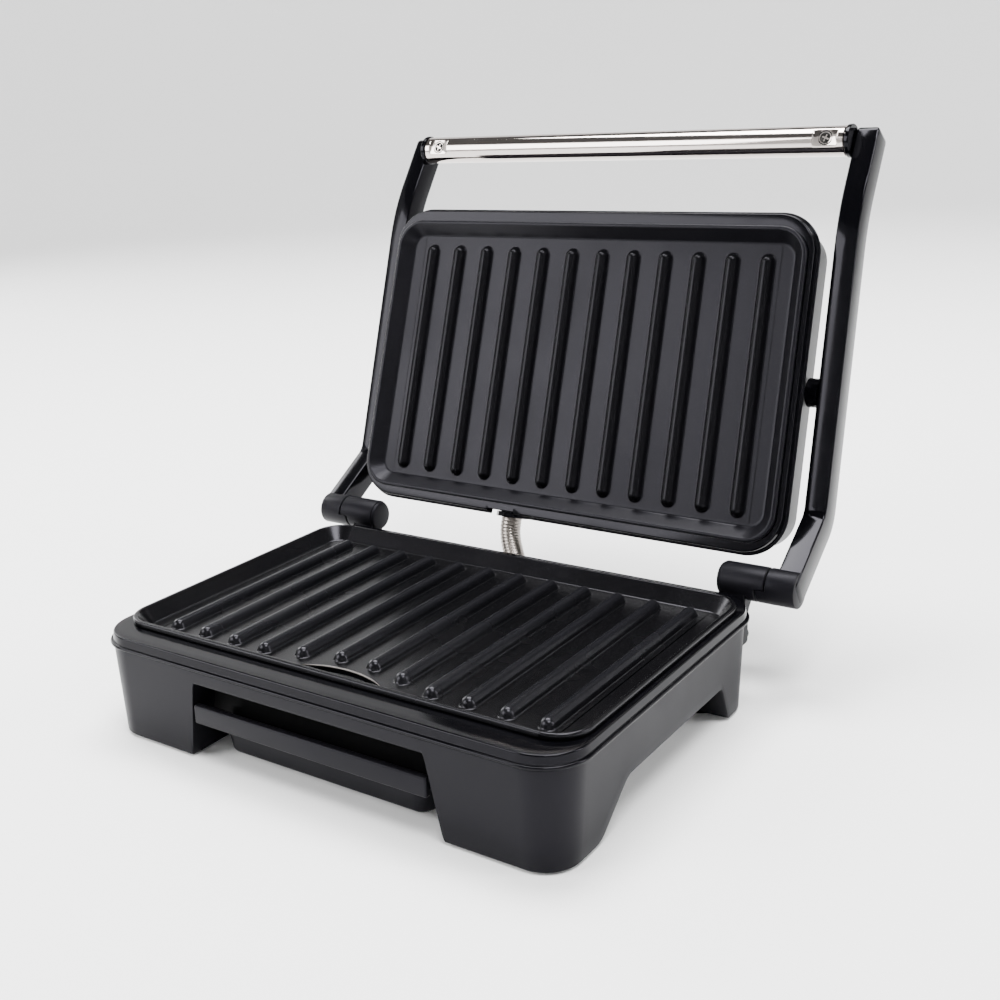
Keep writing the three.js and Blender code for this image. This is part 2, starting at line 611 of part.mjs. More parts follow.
// Fixed half of the right hinge: barrel, stop tab and the bracket screwed to the housing.
function hingeBarrel() {
  const clear = BASE_BEZEL.y1 + GAP;
  const seat = HOUSING_RIM.y1 + GAP;
  const low = COVER_TOP + 3;
  const profile = polygon([
    [housingOutline(low).y1 + GAP, low],
    [clear + 3.4, low],
    [clear + 4.4, HINGE_Z - 13],
    [HINGE_Y + 5.5, HINGE_Z - 5.5],
    [HINGE_Y, HINGE_Z],
    [clear, HINGE_Z - 1.5],
    [clear, HOUSING_TOP - 1],
    [seat, HOUSING_TOP - 1],
  ]);
  const tabEnd = SEAM_X + HALF_STEP;
  const tab = ringX(SEAM_X - HALF_STEP - 1, tabEnd - GAP / 2).intersect(seamSector(TAB_START));
  let solid = ringX(BARREL_INNER_X, SEAM_X - HALF_STEP - GAP / 2)
    .add(prismX(profile, BARREL_INNER_X, SEAM_X - HALF_STEP - GAP / 2))
    .add(tab)
    .subtract(cylinderX(BARREL_INNER_X + 4, HINGE_Y, HINGE_Z, PIN_RADIUS + GAP, 40));
  for (const z of HINGE_SCREW_Z)
    solid = solid.subtract(
      cylinderY(BRACKET_MID_X, seat - 2, z, SCREW_SHANK_RADIUS + GAP, 20),
    );
  return solid;
}
const barrelCap = () =>
  cylinderX(BARREL_INNER_X - CAP_THICKNESS - GAP, HINGE_Y, HINGE_Z, BARREL_RADIUS - 0.5, CAP_THICKNESS);
const PIN_END = ARM_OUTER_X - 3;
const hingePin = () => {
  const start = BARREL_INNER_X + 5;
  return cylinderX(start, HINGE_Y, HINGE_Z, PIN_RADIUS, PIN_END - start);
};
const hingeScrew = (z) =>
  solidOf(geometryOf(screw(12)).rotateX(Math.PI / 2)).translate([
    BRACKET_MID_X,
    BASE_BEZEL.y1 + GAP + 4.6,
    z,
  ]);

// ---------- arms and handle ----------
// Outline of the arm seen from the side: its centre line widened by half its depth.
function armProfile() {
  const line = [HINGE, LOWER_KNEE, UPPER_KNEE, ARM_END].map((p) => new THREE.Vector2(...p));
  const half = ARM_DEPTH / 2 - ARM_EDGE;
  const offset = (sign) =>
    line.map((point, i) => {
      const before = point.clone().sub(line[i - 1] ?? point).normalize();
      const after = (line[i + 1] ?? point).clone().sub(point).normalize();
      const normals = [before, after]
        .filter((d) => d.length() > 0)
        .map((d) => new THREE.Vector2(-d.y, d.x));
      const middle = normals.reduce((a, b) => a.clone().add(b)).normalize();
      return point.clone().addScaledVector(middle, (sign * half) / middle.dot(normals[0]));
    });
  const ring = [...offset(-1), ...offset(1).reverse()];
  return softPolygon(ring.map((p) => [p.x, p.y]), ARM_DEPTH / 4);
}

const HANDLE = along(ARM_UPPER, UPPER_KNEE, ARM_UPPER.length - HANDLE_BACK_FROM_END);
const frontNormal = [-Math.sin(degrees(ARM_UPPER.angle)), Math.cos(degrees(ARM_UPPER.angle))];
const HANDLE_Y = HANDLE[0] + (frontNormal[0] * ARM_DEPTH) / 2;
const HANDLE_Z = HANDLE[1] + (frontNormal[1] * ARM_DEPTH) / 2;
const HANDLE_END = ARM_INNER_X - COLLAR_THICKNESS - 2 * GAP;

function arm() {
  const bevel = {
    bevelEnabled: true,
    bevelThickness: ARM_EDGE,
    bevelSize: ARM_EDGE,
    bevelSegments: 1,
  };
  const bar = solidOf(
    extrude(armProfile(), ARM_WIDTH - 2 * ARM_EDGE, bevel)
      .applyMatrix4(ALONG_X)
      .translate(ARM_INNER_X + ARM_EDGE, 0, 0),
  );
  const lugStart = SEAM_X + HALF_STEP + GAP / 2;
  const tab = ringX(SEAM_X - HALF_STEP + GAP / 2, lugStart + 1).intersect(
    seamSector(TAB_START + TAB_ANGLE + 2),
  );
  const pivotBore = cylinderX(ARM_INNER_X - 1, ...PIVOT, PIVOT_RADIUS + RUNNING_GAP, ARM_WIDTH - 2);
  const capSeat = cylinderX(ARM_OUTER_X - 2.2, ...PIVOT, PIVOT_CAP_RADIUS + GAP, 5);
  return bar
    .add(ringX(lugStart, ARM_OUTER_X))
    .add(tab)
    .subtract(cylinderX(SEAM_X - SEAM_STEP, ...HINGE, PIN_RADIUS + RUNNING_GAP, PIN_END - SEAM_X + SEAM_STEP + 1))
    .subtract(pivotBore)
    .subtract(capSeat);
}
const pivotCap = () => cylinderX(ARM_OUTER_X - 1.9, ...PIVOT, PIVOT_CAP_RADIUS, 1.6);

const FLAT_TURN = LID_TURN + Math.PI / 2; // the handle's flats face away from the lid's cover
// Turns a piece built for a handle axis at the origin, flat facing +Y, and puts it in place.
const onHandle = (solid) =>
  solid
    .rotate([THREE.MathUtils.radToDeg(FLAT_TURN), 0, 0])
    .translate([0, HANDLE_Y, HANDLE_Z]);
const HANDLE_SCREW_X = HANDLE_END - HANDLE_SCREW_INSET;

function handleTube() {
  let tube = cylinderX(-HANDLE_END, 0, 0, HANDLE_RADIUS, 2 * HANDLE_END).subtract(
    cylinderX(-HANDLE_END - 1, 0, 0, HANDLE_RADIUS - HANDLE_WALL - HANDLE_FLAT, 2 * HANDLE_END + 2),
  );
  const flat = HANDLE_RADIUS - HANDLE_FLAT;
  for (const side of [-1, 1]) {
    const x = side * HANDLE_SCREW_X;
    tube = tube
      .subtract(box(x - 7.5, x + 7.5, flat, flat + 5, -9, 9))
      .subtract(cylinderY(x, 0, 0, SCREW_HEAD_RADIUS + 0.5, 12));
  }
  return onHandle(tube);
}
function handleScrew(side) {
  const seat = HANDLE_RADIUS - HANDLE_FLAT - 0.4;
  const inward = solidOf(geometryOf(screw(4)).rotateX(Math.PI / 2)).translate([
    side * HANDLE_SCREW_X,
    seat - 1.3,
    0,
  ]);
  return onHandle(inward);
}
// Collar against the right arm, with the spigot that the handle screw bites into.
function handleCollar() {
  const spigot = HANDLE_RADIUS - HANDLE_WALL - HANDLE_FLAT - GAP;
  const spigotLength = HANDLE_SCREW_INSET + 7;
  const solid = cylinderX(HANDLE_END + GAP, 0, 0, HANDLE_RADIUS + 0.7, COLLAR_THICKNESS)
    .add(cylinderX(HANDLE_END - spigotLength, 0, 0, spigot, spigotLength + 1))
    .subtract(cylinderY(HANDLE_SCREW_X, -2, 0, SCREW_SHANK_RADIUS + GAP, 12));
  const seatCut = cylinderY(HANDLE_SCREW_X, spigot - 0.6, 0, SCREW_HEAD_RADIUS + GAP, 6);
  return onHandle(solid.subtract(seatCut));
}

// ---------- lid (lid frame) ----------
const LID_SEAM = -BEZEL_BOTTOM - GAP;
const LID_MOUTH = inset(LID_BEZEL, BEZEL_PROUD);
const LID_BACK = inset(LID_MOUTH, LID_TAPER);
const LID_SLOPE = LID_TAPER / (LID_THICKNESS - LID_CHAMFER + LID_SEAM);
const lidShellX = LID_MOUTH.halfWidth - LID_SLOPE * (PIVOT_DEPTH + LID_SEAM);
const LIGHTS = { power: -9, ready: 9 };
const LIGHT_Y = PLATE_DEPTH - 18;

function upperHousing() {
  const shoulder = LID_CHAMFER - LID_THICKNESS;
  const body = (by, top) =>
    frustum(inset(LID_BACK, by), inset(LID_MOUTH, by), shoulder, top).add(
      frustum(inset(LID_BACK, by + LID_CHAMFER), inset(LID_BACK, by), by - LID_THICKNESS,
        shoulder + (by ? 0 : 0)),
    );
  const sideHole = cylinderX(-200, PIVOT_UP_LID, -PIVOT_DEPTH, PIVOT_RADIUS + GAP, 400);
  const rearHole = cylinderY(CONDUIT_LID_X, LID_MOUTH.y0 - 5, -CONDUIT_LID_DEPTH,
    CONDUIT_RADIUS + 1.7, 14);
  let solid = body(0, LID_SEAM).subtract(body(WALL, LID_SEAM + 1)).subtract(sideHole).subtract(rearHole);
  for (const x of Object.values(LIGHTS))
    solid = solid.subtract(cylinderZ(x, LIGHT_Y, -LID_THICKNESS - 1, 2.5, 6));
  return solid;
}

function lidBezel() {
  const half = CONDUIT_NOTCH_HALF;
  const notch = box(CONDUIT_LID_X - half, CONDUIT_LID_X + half, LID_BEZEL.y0 - 2,
    LID_BEZEL.y0 + 3, -BEZEL_BOTTOM - 1, 0);
  return bezel(LID_BEZEL).subtract(notch);
}

function pivotBoss() {
  const start = lidShellX + GAP + LID_SLOPE * PIVOT_BOSS_RADIUS;
  return cylinderX(start, PIVOT_UP_LID, -PIVOT_DEPTH, PIVOT_BOSS_RADIUS,
    ARM_INNER_X - GAP - start).subtract(
    cylinderX(start - 1, PIVOT_UP_LID, -PIVOT_DEPTH, PIVOT_RADIUS + GAP, 20),
  );
}
function pivotPin() {
  const head = 2.4;
  const headRadius = PIVOT_RADIUS * 1.5;
  const headEnd = lidShellX - WALL - GAP - LID_SLOPE * headRadius;
  return cylinderX(headEnd - head, PIVOT_UP_LID, -PIVOT_DEPTH, headRadius, head).add(
    cylinderX(headEnd - 1, PIVOT_UP_LID, -PIVOT_DEPTH, PIVOT_RADIUS, ARM_OUTER_X - 3.4 - headEnd + 1),
  );
}
const lightLens = (x) =>
  solidOf(
    turned([
      [0, -1],
      [2.2, -1],
      [3.1, -0.4],
      [3.1, 0],
      [2.2, 0],
      [2.2, 5],
      [0, 5],
    ]),
  ).translate([x, LIGHT_Y, -LID_THICKNESS - GAP]);

// ---------- conduit and cord entry ----------
// A flanged bush on a wall: the flange outside at z > 0, the neck through the wall.
const bush = (bore, neck, flange, inside, outside) =>
  turned([
    [bore, -inside],
    [neck, -inside],
    [neck, 0],
    [flange, 0],
    [flange, outside],
    [bore, outside],
    [bore, -inside],
  ]);
const conduitBush = () => bush(CONDUIT_RADIUS + GAP, CONDUIT_RADIUS + 1.4, CONDUIT_RADIUS + 3, 5, 2.6);
const baseFerrule = () =>
  solidOf(conduitBush().rotateX(-Math.PI / 2)).translate([
    CONDUIT_BASE_X,
    housingOutline(CONDUIT_BASE_Z + 9).y1 + GAP,
    CONDUIT_BASE_Z,
  ]);
const lidFerrule = () =>
  solidOf(conduitBush().rotateX(Math.PI / 2)).translate([
    CONDUIT_LID_X,
    LID_MOUTH.y0 - GAP,
    -CONDUIT_LID_DEPTH,
  ]);
const cordGland = () =>
  solidOf(bush(3.6, 4.9, 7.5, 5, 3.5).rotateX(-Math.PI / 2)).translate([
    CORD_X,
    housingOutline(CORD_Z + 8).y1 + GAP,
    CORD_Z,
  ]);

// Steel spring conduit from inside the base, out backwards and up into the lid.
function springConduit() {
  const inLid = (y) =>
    new THREE.Vector3(CONDUIT_LID_X, y, -CONDUIT_LID_DEPTH)
      .applyAxisAngle(new THREE.Vector3(1, 0, 0), LID_TURN)
      .add(LID_ORIGIN);
  const wall = housingOutline(CONDUIT_BASE_Z).y1;
  const leave = new THREE.Vector3(CONDUIT_BASE_X, wall + 8, CONDUIT_BASE_Z);
  const enter = inLid(LID_MOUTH.y0 - 7);
  const back = new THREE.Vector3(0, 14, 0);
  const down = inLid(LID_MOUTH.y0 - 20).sub(inLid(LID_MOUTH.y0 - 6));
  const path = new THREE.CurvePath();
  path.add(new THREE.LineCurve3(leave.clone().setY(wall - 9), leave));
  path.add(new THREE.CubicBezierCurve3(leave, leave.clone().add(back), enter.clone().add(down), enter));
  path.add(new THREE.LineCurve3(enter, inLid(SKIRT.y0 - 2 * GAP)));
  const section = new THREE.Shape().absarc(0, 0, CONDUIT_RADIUS, 0, Math.PI * 2);
  return solidOf(extrude(section, 1, { extrudePath: path, steps: 20, curveSegments: 6 }));
}

// ---------- drip tray ----------
const TRAY_FRONT = HOUSING_RIM.y0 + LIP_REACH;
const TRAY_REAR = TRAY_FRONT + TRAY_LENGTH;
const FLANGE_THICKNESS = 1.6;
const FLANGE_BOTTOM = TRAY_TOP - 1 - FLANGE_THICKNESS;

function dripTray() {
  const outer = outline(TRAY_HALF_WIDTH, TRAY_FRONT, TRAY_REAR, 8);
  const inner = inset(outer, TRAY_WALL);
  const lipFront = TRAY_FRONT - LIP_REACH;
  const bridge = TRAY_HALF_WIDTH - 6;
  const flange = TRAY_HALF_WIDTH + TRAY_FLANGE;
  return frustum(inset(outer, 2), outer, TRAY_BOTTOM, TRAY_TOP)
    .add(box(-LIP_HALF_WIDTH, LIP_HALF_WIDTH, lipFront, lipFront + LIP_THICKNESS, LIP_BOTTOM,
      LIP_BOTTOM + LIP_HEIGHT))
    .add(box(-bridge, bridge, lipFront + 1, TRAY_FRONT + TRAY_WALL + 1, TRAY_TOP - 1,
      LIP_BOTTOM + 1.6))
    .add(box(-flange, flange, TRAY_FRONT + 10, TRAY_REAR - 10, FLANGE_BOTTOM,
      FLANGE_BOTTOM + FLANGE_THICKNESS))
    .subtract(frustum(inset(inner, 2), inner, TRAY_BOTTOM + TRAY_WALL, LIP_BOTTOM + LIP_HEIGHT));
}

// One of the two rails that carry the tray's flanges, on the right.
function trayRail() {
  const side = TRAY_HALF_WIDTH + TRAY_FLANGE + RAIL_CLEARANCE;
  const shelf = FLANGE_BOTTOM - RAIL_CLEARANCE;
  const front = TRAY_FRONT + 14;
  const rear = TRAY_REAR + 4;
  return box(side, side + RAIL_WALL, front, rear, shelf - RAIL_WALL, COVER_Z - GAP).add(
    box(side - TRAY_FLANGE + 1, side + 1, front, rear, shelf - RAIL_WALL, shelf),
  );
}

// ---------- assembly ----------
const press = new THREE.Group();
const base = new THREE.Group();
const lid = new THREE.Group();
press.add(base, lid);
lid.rotation.x = LID_TURN;
lid.position.copy(LID_ORIGIN);

function place(group, name, solid, material) {
  const mesh = new THREE.Mesh(geometryOf(solid), material);
  mesh.name = name;
  group.add(mesh);
}
const mirrored = (solid) => solid.mirror([1, 0, 0]);
// The right-hand piece is the one modelled; the left-hand one is its mirror image.
function pair(group, name, solid, material) {
  place(group, name + "_right", solid, material());
  place(group, name + "_left", mirrored(solid), material());
}
const onRimPlane = (solid) => solid.translate([0, 0, RIM_HEIGHT]);

let housing = baseHousing();
for (const [corner, [x, y]] of Object.entries(footPadPlaces())) {
  housing = housing.subtract(padSocket(x, y));
  place(base, "foot_pad_" + corner, footPad(x, y), FINISH.rubber());
}
place(base, "base_housing", housing, FINISH.satin());
place(base, "base_bezel", onRimPlane(bezel(BASE_BEZEL)), FINISH.gloss());
place(base, "base_bottom_cover", bottomCover(), FINISH.satin());
for (const [corner, [x, y]] of Object.entries(coverScrewPlaces()))
  place(base, "cover_screw_" + corner, screw(9).translate([x, y, COVER_Z - GAP]), FINISH.screw());
place(base, "lower_grill_plate", onRimPlane(lowerPlate()), FINISH.nonstick());
place(base, "lower_heating_element", onRimPlane(heatingElement()), FINISH.steel());
place(base, "lower_heat_reflector", onRimPlane(reflector(REFLECTOR_FRONT)), FINISH.sheet());
place(base, "lower_thermostat", onRimPlane(thermostat(PLATE_SCREW_X / 2)), FINISH.ceramic());
pair(base, "lower_plate_screw", onRimPlane(plateScrew(PLATE_SCREW_X)), FINISH.screw);
place(base, "thermal_fuse", cylinderX(-40, PLATE_DEPTH / 2, RIM_HEIGHT + ELEMENT_Z, 2.2, 14), FINISH.steel());
place(base, "terminal_block", box(30, 60, PLATE_DEPTH - 35, PLATE_DEPTH - 17, COVER_TOP + GAP, COVER_TOP + 9), FINISH.ceramic());
place(base, "drain_chute", drainChute(), FINISH.sheet());
pair(base, "hinge_barrel", hingeBarrel(), FINISH.gloss);
pair(base, "hinge_barrel_cap", barrelCap(), FINISH.gloss);
pair(base, "hinge_pin", hingePin(), FINISH.steel);
HINGE_SCREW_Z.forEach((z, i) =>
  pair(base, ["hinge_screw_lower", "hinge_screw_upper"][i], hingeScrew(z), FINISH.screw),
);
place(base, "conduit_base_ferrule", baseFerrule(), FINISH.gloss());
place(base, "cord_inlet_gland", cordGland(), FINISH.rubber());
place(base, "spring_conduit", springConduit(), FINISH.steel());
pair(base, "tray_rail", trayRail(), FINISH.satin);
place(base, "drip_tray", dripTray(), FINISH.satin());

pair(base, "lid_arm", arm(), FINISH.gloss);
pair(base, "pivot_cap", pivotCap(), FINISH.satin);
place(base, "handle_tube", handleTube(), FINISH.chrome());
pair(base, "handle_collar", handleCollar(), FINISH.gloss);
place(base, "handle_screw_right", handleScrew(1), FINISH.screw());
place(base, "handle_screw_left", handleScrew(-1), FINISH.screw());

place(lid, "upper_housing", upperHousing(), FINISH.satin());
place(lid, "upper_bezel", lidBezel(), FINISH.gloss());
place(lid, "upper_grill_plate", upperPlate(), FINISH.nonstick());
place(lid, "upper_heating_element", heatingElement(), FINISH.steel());
place(lid, "upper_heat_reflector", reflector(10), FINISH.sheet());
place(lid, "upper_thermostat", thermostat(PLATE_SCREW_X / 2), FINISH.ceramic());
pair(lid, "upper_plate_screw", plateScrew(PLATE_SCREW_X), FINISH.screw);
pair(lid, "lid_pivot_boss", pivotBoss(), FINISH.gloss);
pair(lid, "lid_pivot_pin", pivotPin(), FINISH.steel);
place(lid, "conduit_lid_ferrule", lidFerrule(), FINISH.gloss());
place(lid, "power_light_lens", lightLens(LIGHTS.power), FINISH.redLens());
place(lid, "ready_light_lens", lightLens(LIGHTS.ready), FINISH.greenLens());

press.updateMatrixWorld(true);
const bounds = new THREE.Box3().setFromObject(press, true);
const middle = bounds.getCenter(new THREE.Vector3());
press.position.set(-middle.x, -middle.y, -bounds.min.z);

export default press;
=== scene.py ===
"""Panini press with its lid open: surfaces, finishes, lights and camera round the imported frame.

Lengths are millimetres until a mesh is written. The press frame has X = 0 in the middle, Y = 0 at
the front edge of the lower plate's rim and Z = 0 under the housing's feet. The lid frame has its
Y up the lid from the hinge side and its Z out of the lid's grill plate.
"""

import logging
import math
from collections.abc import Callable, Sequence
from dataclasses import dataclass, field, replace
from enum import Enum

import bmesh
import bpy
import numpy as np
from mathutils import Matrix, Vector


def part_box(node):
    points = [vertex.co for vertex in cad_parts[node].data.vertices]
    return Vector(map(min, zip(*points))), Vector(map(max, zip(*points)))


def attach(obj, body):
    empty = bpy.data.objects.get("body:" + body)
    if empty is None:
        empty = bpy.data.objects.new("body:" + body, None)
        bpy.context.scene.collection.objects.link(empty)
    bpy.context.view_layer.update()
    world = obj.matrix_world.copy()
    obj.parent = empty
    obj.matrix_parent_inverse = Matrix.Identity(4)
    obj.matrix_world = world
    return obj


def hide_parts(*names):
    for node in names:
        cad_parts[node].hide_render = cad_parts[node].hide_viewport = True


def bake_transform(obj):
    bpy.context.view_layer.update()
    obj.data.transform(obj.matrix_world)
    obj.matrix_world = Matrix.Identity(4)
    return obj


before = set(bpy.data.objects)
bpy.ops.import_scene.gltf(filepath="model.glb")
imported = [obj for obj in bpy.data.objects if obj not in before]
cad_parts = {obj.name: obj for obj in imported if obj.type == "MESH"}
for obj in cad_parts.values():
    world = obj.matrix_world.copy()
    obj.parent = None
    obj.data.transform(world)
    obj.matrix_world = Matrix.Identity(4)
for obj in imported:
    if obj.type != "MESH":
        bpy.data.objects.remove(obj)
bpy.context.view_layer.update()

LOG = logging.getLogger("press")
Array = np.ndarray


# ---------------------------------------------------------------- where things are


@dataclass(frozen=True)
class Layout:
    """The places and angles that the sub-assemblies share, in the press frame."""

    rim_height: float = 51.0
    plate_depth: float = 153.0
    hinge: tuple[float, float] = (170.3, 51.6)
    lid_lean: float = 19.5
    closed_gap: float = 4.8
    arm_lower: tuple[float, float] = (42.8, 30.8)
    arm_long: tuple[float, float] = (146.0, 71.4)
    arm_upper: tuple[float, float] = (48.3, 54.9)
    pivot_along: float = 60.0
    arm_inner_x: float = 130.7
    arm_width: float = 11.0

    @staticmethod
    def step(start: Array, length: float, angle: float) -> Array:
        """The point `length` from `start`, `angle` degrees above +Y."""
        return start + length * np.array([math.cos(math.radians(angle)), math.sin(math.radians(angle))])

    @property
    def arm_line(self) -> Array:
        """Corners of the arm's centre line as (y, z): hinge, two knees and the end."""
        points = [np.array(self.hinge)]
        for length, angle in (self.arm_lower, self.arm_long, self.arm_upper):
            points.append(self.step(points[-1], length, angle))
        return np.array(points)

    @property
    def pivot(self) -> Array:
        """The lid's pivot as (y, z)."""
        return self.step(self.arm_line[1], self.pivot_along, self.arm_long[1])

    @property
    def pivot_in_lid(self) -> Array:
        """The pivot in the lid frame, from where it stands when the lid is down and level."""
        turn = math.radians(90 + self.lid_lean)
        dy, dz = self.pivot - np.array(self.hinge)
        closed_y = self.hinge[0] + dy * math.cos(turn) - dz * math.sin(turn)
        closed_z = self.hinge[1] + dy * math.sin(turn) + dz * math.cos(turn)
        return np.array([self.plate_depth - closed_y, self.rim_height + self.closed_gap - closed_z])

    @property
    def lid_matrix(self) -> Array:
        """The 3x4 matrix from the lid frame to the press frame."""
        turn = math.radians(90 - self.lid_lean)
        c, s = math.cos(turn), math.sin(turn)
        spin = np.array([[1, 0, 0], [0, c, -s], [0, s, c]])
        pivot = np.array([0.0, *self.pivot])
        origin = pivot - spin @ np.array([0.0, *self.pivot_in_lid])
        return np.column_stack([spin, origin])


LAYOUT = Layout()
PLATE_LOW, PLATE_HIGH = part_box("lower_grill_plate")
ROW_SHIFT = np.array([0.0, PLATE_LOW.y, PLATE_HIGH.z - LAYOUT.rim_height / 1000])


class Space(Enum):
    """The frame that a piece's points are given in."""

    PRESS = "press"
    LID = "lid"

    def to_row(self, points: Array) -> Array:
        """Points of this frame in millimetres as row points in metres."""
        if self is Space.LID:
            matrix = LAYOUT.lid_matrix
            points = points @ matrix[:, :3].T + matrix[:, 3]
        return points / 1000 + ROW_SHIFT

    def from_row(self, points: Array) -> Array:
        """Row points in metres as points of this frame in millimetres."""
        points = (points - ROW_SHIFT) * 1000
        if self is Space.LID:
            matrix = LAYOUT.lid_matrix
            points = (points - matrix[:, 3]) @ matrix[:, :3]
        return points


# ---------------------------------------------------------------- profiles and outlines


def soft_clip(value: Array, low: float, high: float, blend: float) -> Array:
    """`value` held between two limits, turning into each over `blend`.

    Args:
        value: any array.
        low: lower limit.
        high: upper limit.
        blend: width of the parabola that joins the slope to each limit.

    Returns:
        The held values: a smooth minimum with `high`, then a smooth maximum with `low`, each
        min(a, b) - k h^2 / 4 with h the share of `blend` by which the two are closer than it.
    """
    near = np.maximum(blend - np.abs(value - high), 0) / blend
    capped = np.minimum(value, high) - near**2 * blend / 4
    near = np.maximum(blend - np.abs(capped - low), 0) / blend
    return np.maximum(capped, low) + near**2 * blend / 4


def rounded_path(
    points: Sequence[Sequence[float]], radii: Sequence[float], steps: int = 4, closed: bool = False
) -> Array:
    """A flat polyline whose corners are arcs that touch both of their sides.

    Args:
        points: corners in order.
        radii: one radius for each corner; 0 keeps it sharp.
        steps: segments in each arc.
        closed: whether the last corner joins the first.

    Returns:
        The points, one row each. An arc is centre + r (a cos + b sin), a slerp between the
        normals of the two sides.
    """
    corners = np.array(points, float)
    out = []
    last = len(corners) - 1
    for i, (corner, radius) in enumerate(zip(corners, radii)):
        if radius <= 0 or (not closed and i in (0, last)):
            out.append(corner[None])
            continue
        into = corner - corners[i - 1]
        away = corners[(i + 1) % len(corners)] - corner
        into, away = into / np.linalg.norm(into), away / np.linalg.norm(away)
        turn = math.acos(float(np.clip(into @ away, -1, 1)))
        if turn < 1e-3:
            out.append(corner[None])
            continue
        reach = radius * math.tan(turn / 2)
        inward = (away - into) / np.linalg.norm(away - into)
        centre = corner + inward * radius / math.cos(turn / 2)
        start, end = corner - into * reach - centre, corner + away * reach - centre
        t = np.linspace(0, 1, steps + 1)[:, None]
        arc = (np.sin((1 - t) * turn) * start + np.sin(t * turn) * end) / math.sin(turn)
        out.append(centre + arc)
    return np.vstack(out)


@dataclass(frozen=True)
class Outline:
    """A rectangle with round corners, centred on X = 0."""

    half_width: float
    front: float
    rear: float
    radius: float

    def inset(self, by: float) -> "Outline":
        """The outline moved inwards by `by` all round."""
        return Outline(
            self.half_width - by, self.front + by, self.rear - by, max(self.radius - by, 0.3)
        )

    def ring(self, xs: Array, ys: Array, steps: int) -> Array:
        """Points round the outline, anticlockwise from its front left.

        Args:
            xs: where points stand on the front and rear sides.
            ys: where they stand on the two other sides.
            steps: segments in each corner.

        Returns:
            (n, 2) points. Two outlines asked with the same arguments give points that match one
            to one.
        """
        w, r = self.half_width, self.radius
        x = np.concatenate([[r - w], xs, [w - r]])
        y = np.concatenate([[self.front + r], ys, [self.rear - r]])
        turn = np.linspace(0, np.pi / 2, steps + 1)[1:-1]

        def corner(cx: float, cy: float, start: float) -> Array:
            return np.column_stack([cx + r * np.cos(start + turn), cy + r * np.sin(start + turn)])

        return np.vstack(
            [
                np.column_stack([x, np.full(len(x), self.front)]),
                corner(w - r, self.front + r, -np.pi / 2),
                np.column_stack([np.full(len(y), w), y]),
                corner(w - r, self.rear - r, 0),
                np.column_stack([x[::-1], np.full(len(x), self.rear)]),
                corner(r - w, self.rear - r, np.pi / 2),
                np.column_stack([np.full(len(y), -w), y[::-1]]),
                corner(r - w, self.front + r, np.pi),
            ]
        )


@dataclass(frozen=True)
class Stations:
    """Where the points of a ring stand, so that a stack of rings makes an even grid."""

    xs: Array
    ys: Array
    steps: int = 12

    def rows(self, outlines: Sequence[Outline], heights: Sequence[float]) -> Array:
        """A stack of rings: outline k at height k. The surface runs straight between rings."""
        rings = [outline.ring(self.xs, self.ys, self.steps) for outline in outlines]
        return np.stack(
            [np.column_stack([ring, np.full(len(ring), z)]) for ring, z in zip(rings, heights)]
        )


# ---------------------------------------------------------------- meshes


@dataclass
class Skin:
    """Points and faces gathered patch by patch, then written as one mesh."""

    space: Space = Space.PRESS
    points: list[Array] = field(default_factory=list)
    quads: list[Array] = field(default_factory=list)
    caps: list[Array] = field(default_factory=list)
    count: int = 0

    def grid(self, rows: Array, around: bool = False, along: bool = False) -> Array:
        """Adds a surface given on a grid.

        Args:
            rows: (m, n, 3) points.
            around: whether column n joins column 0.
            along: whether row m joins row 0.

        Returns:
            The (m, n) point numbers.
        """
        m, n = rows.shape[:2]
        index = self.count + np.arange(m * n).reshape(m, n)
        self.points.append(rows.reshape(-1, 3))
        self.count += m * n
        ring = np.concatenate([index, index[:, :1]], axis=1) if around else index
        loop = np.concatenate([ring, ring[:1]], axis=0) if along else ring
        self.quads.append(
            np.stack([loop[:-1, :-1], loop[:-1, 1:], loop[1:, 1:], loop[1:, :-1]], -1).reshape(-1, 4)
        )
        return index

    def faces(self, quads: Array) -> None:
        """Adds four-sided faces between points that are already there."""
        self.quads.append(quads.reshape(-1, 4))

    def cap(self, ring: Array) -> None:
        """Closes a flat ring of point numbers with one face."""
        self.caps.append(ring)

    def tube(self, rows: Array) -> None:
        """A closed skin: rings along a path with a cap at each end."""
        index = self.grid(rows, around=True)
        self.cap(index[0])
        self.cap(index[-1])

    def piece(self, name: str, sharp: float = 32.0) -> bpy.types.Object:
        """Writes the mesh, merges its doubles and turns its faces outwards.

        Args:
            name: the object's name.
            sharp: edges that fold by more than this many degrees stay crisp.

        Returns:
            The object, at the origin, in metres.
        """
        quads = np.concatenate(self.quads) if self.quads else np.zeros((0, 4), int)
        loops = np.concatenate([quads.reshape(-1), *self.caps]).astype(np.int32)
        sizes = np.concatenate([np.full(len(quads), 4), [len(c) for c in self.caps]]).astype(int)
        starts = np.concatenate([[0], np.cumsum(sizes)[:-1]]).astype(np.int32)
        verts = self.space.to_row(np.concatenate(self.points))
        mesh = bpy.data.meshes.new(name)
        mesh.vertices.add(len(verts))
        mesh.vertices.foreach_set("co", verts.astype(np.float32).reshape(-1))
        mesh.loops.add(len(loops))
        mesh.loops.foreach_set("vertex_index", loops)
        mesh.polygons.add(len(sizes))
        mesh.polygons.foreach_set("loop_start", starts)
        mesh.update(calc_edges=True)
        work = bmesh.new()
        work.from_mesh(mesh)
        bmesh.ops.remove_doubles(work, verts=work.verts, dist=2e-6)
        bmesh.ops.recalc_face_normals(work, faces=work.faces)
        work.to_mesh(mesh)
        work.free()
        mesh.shade_smooth()
        mesh.set_sharp_from_angle(angle=math.radians(sharp))
        piece = bpy.data.objects.new(name, mesh)
        bpy.context.scene.collection.objects.link(piece)
        return piece


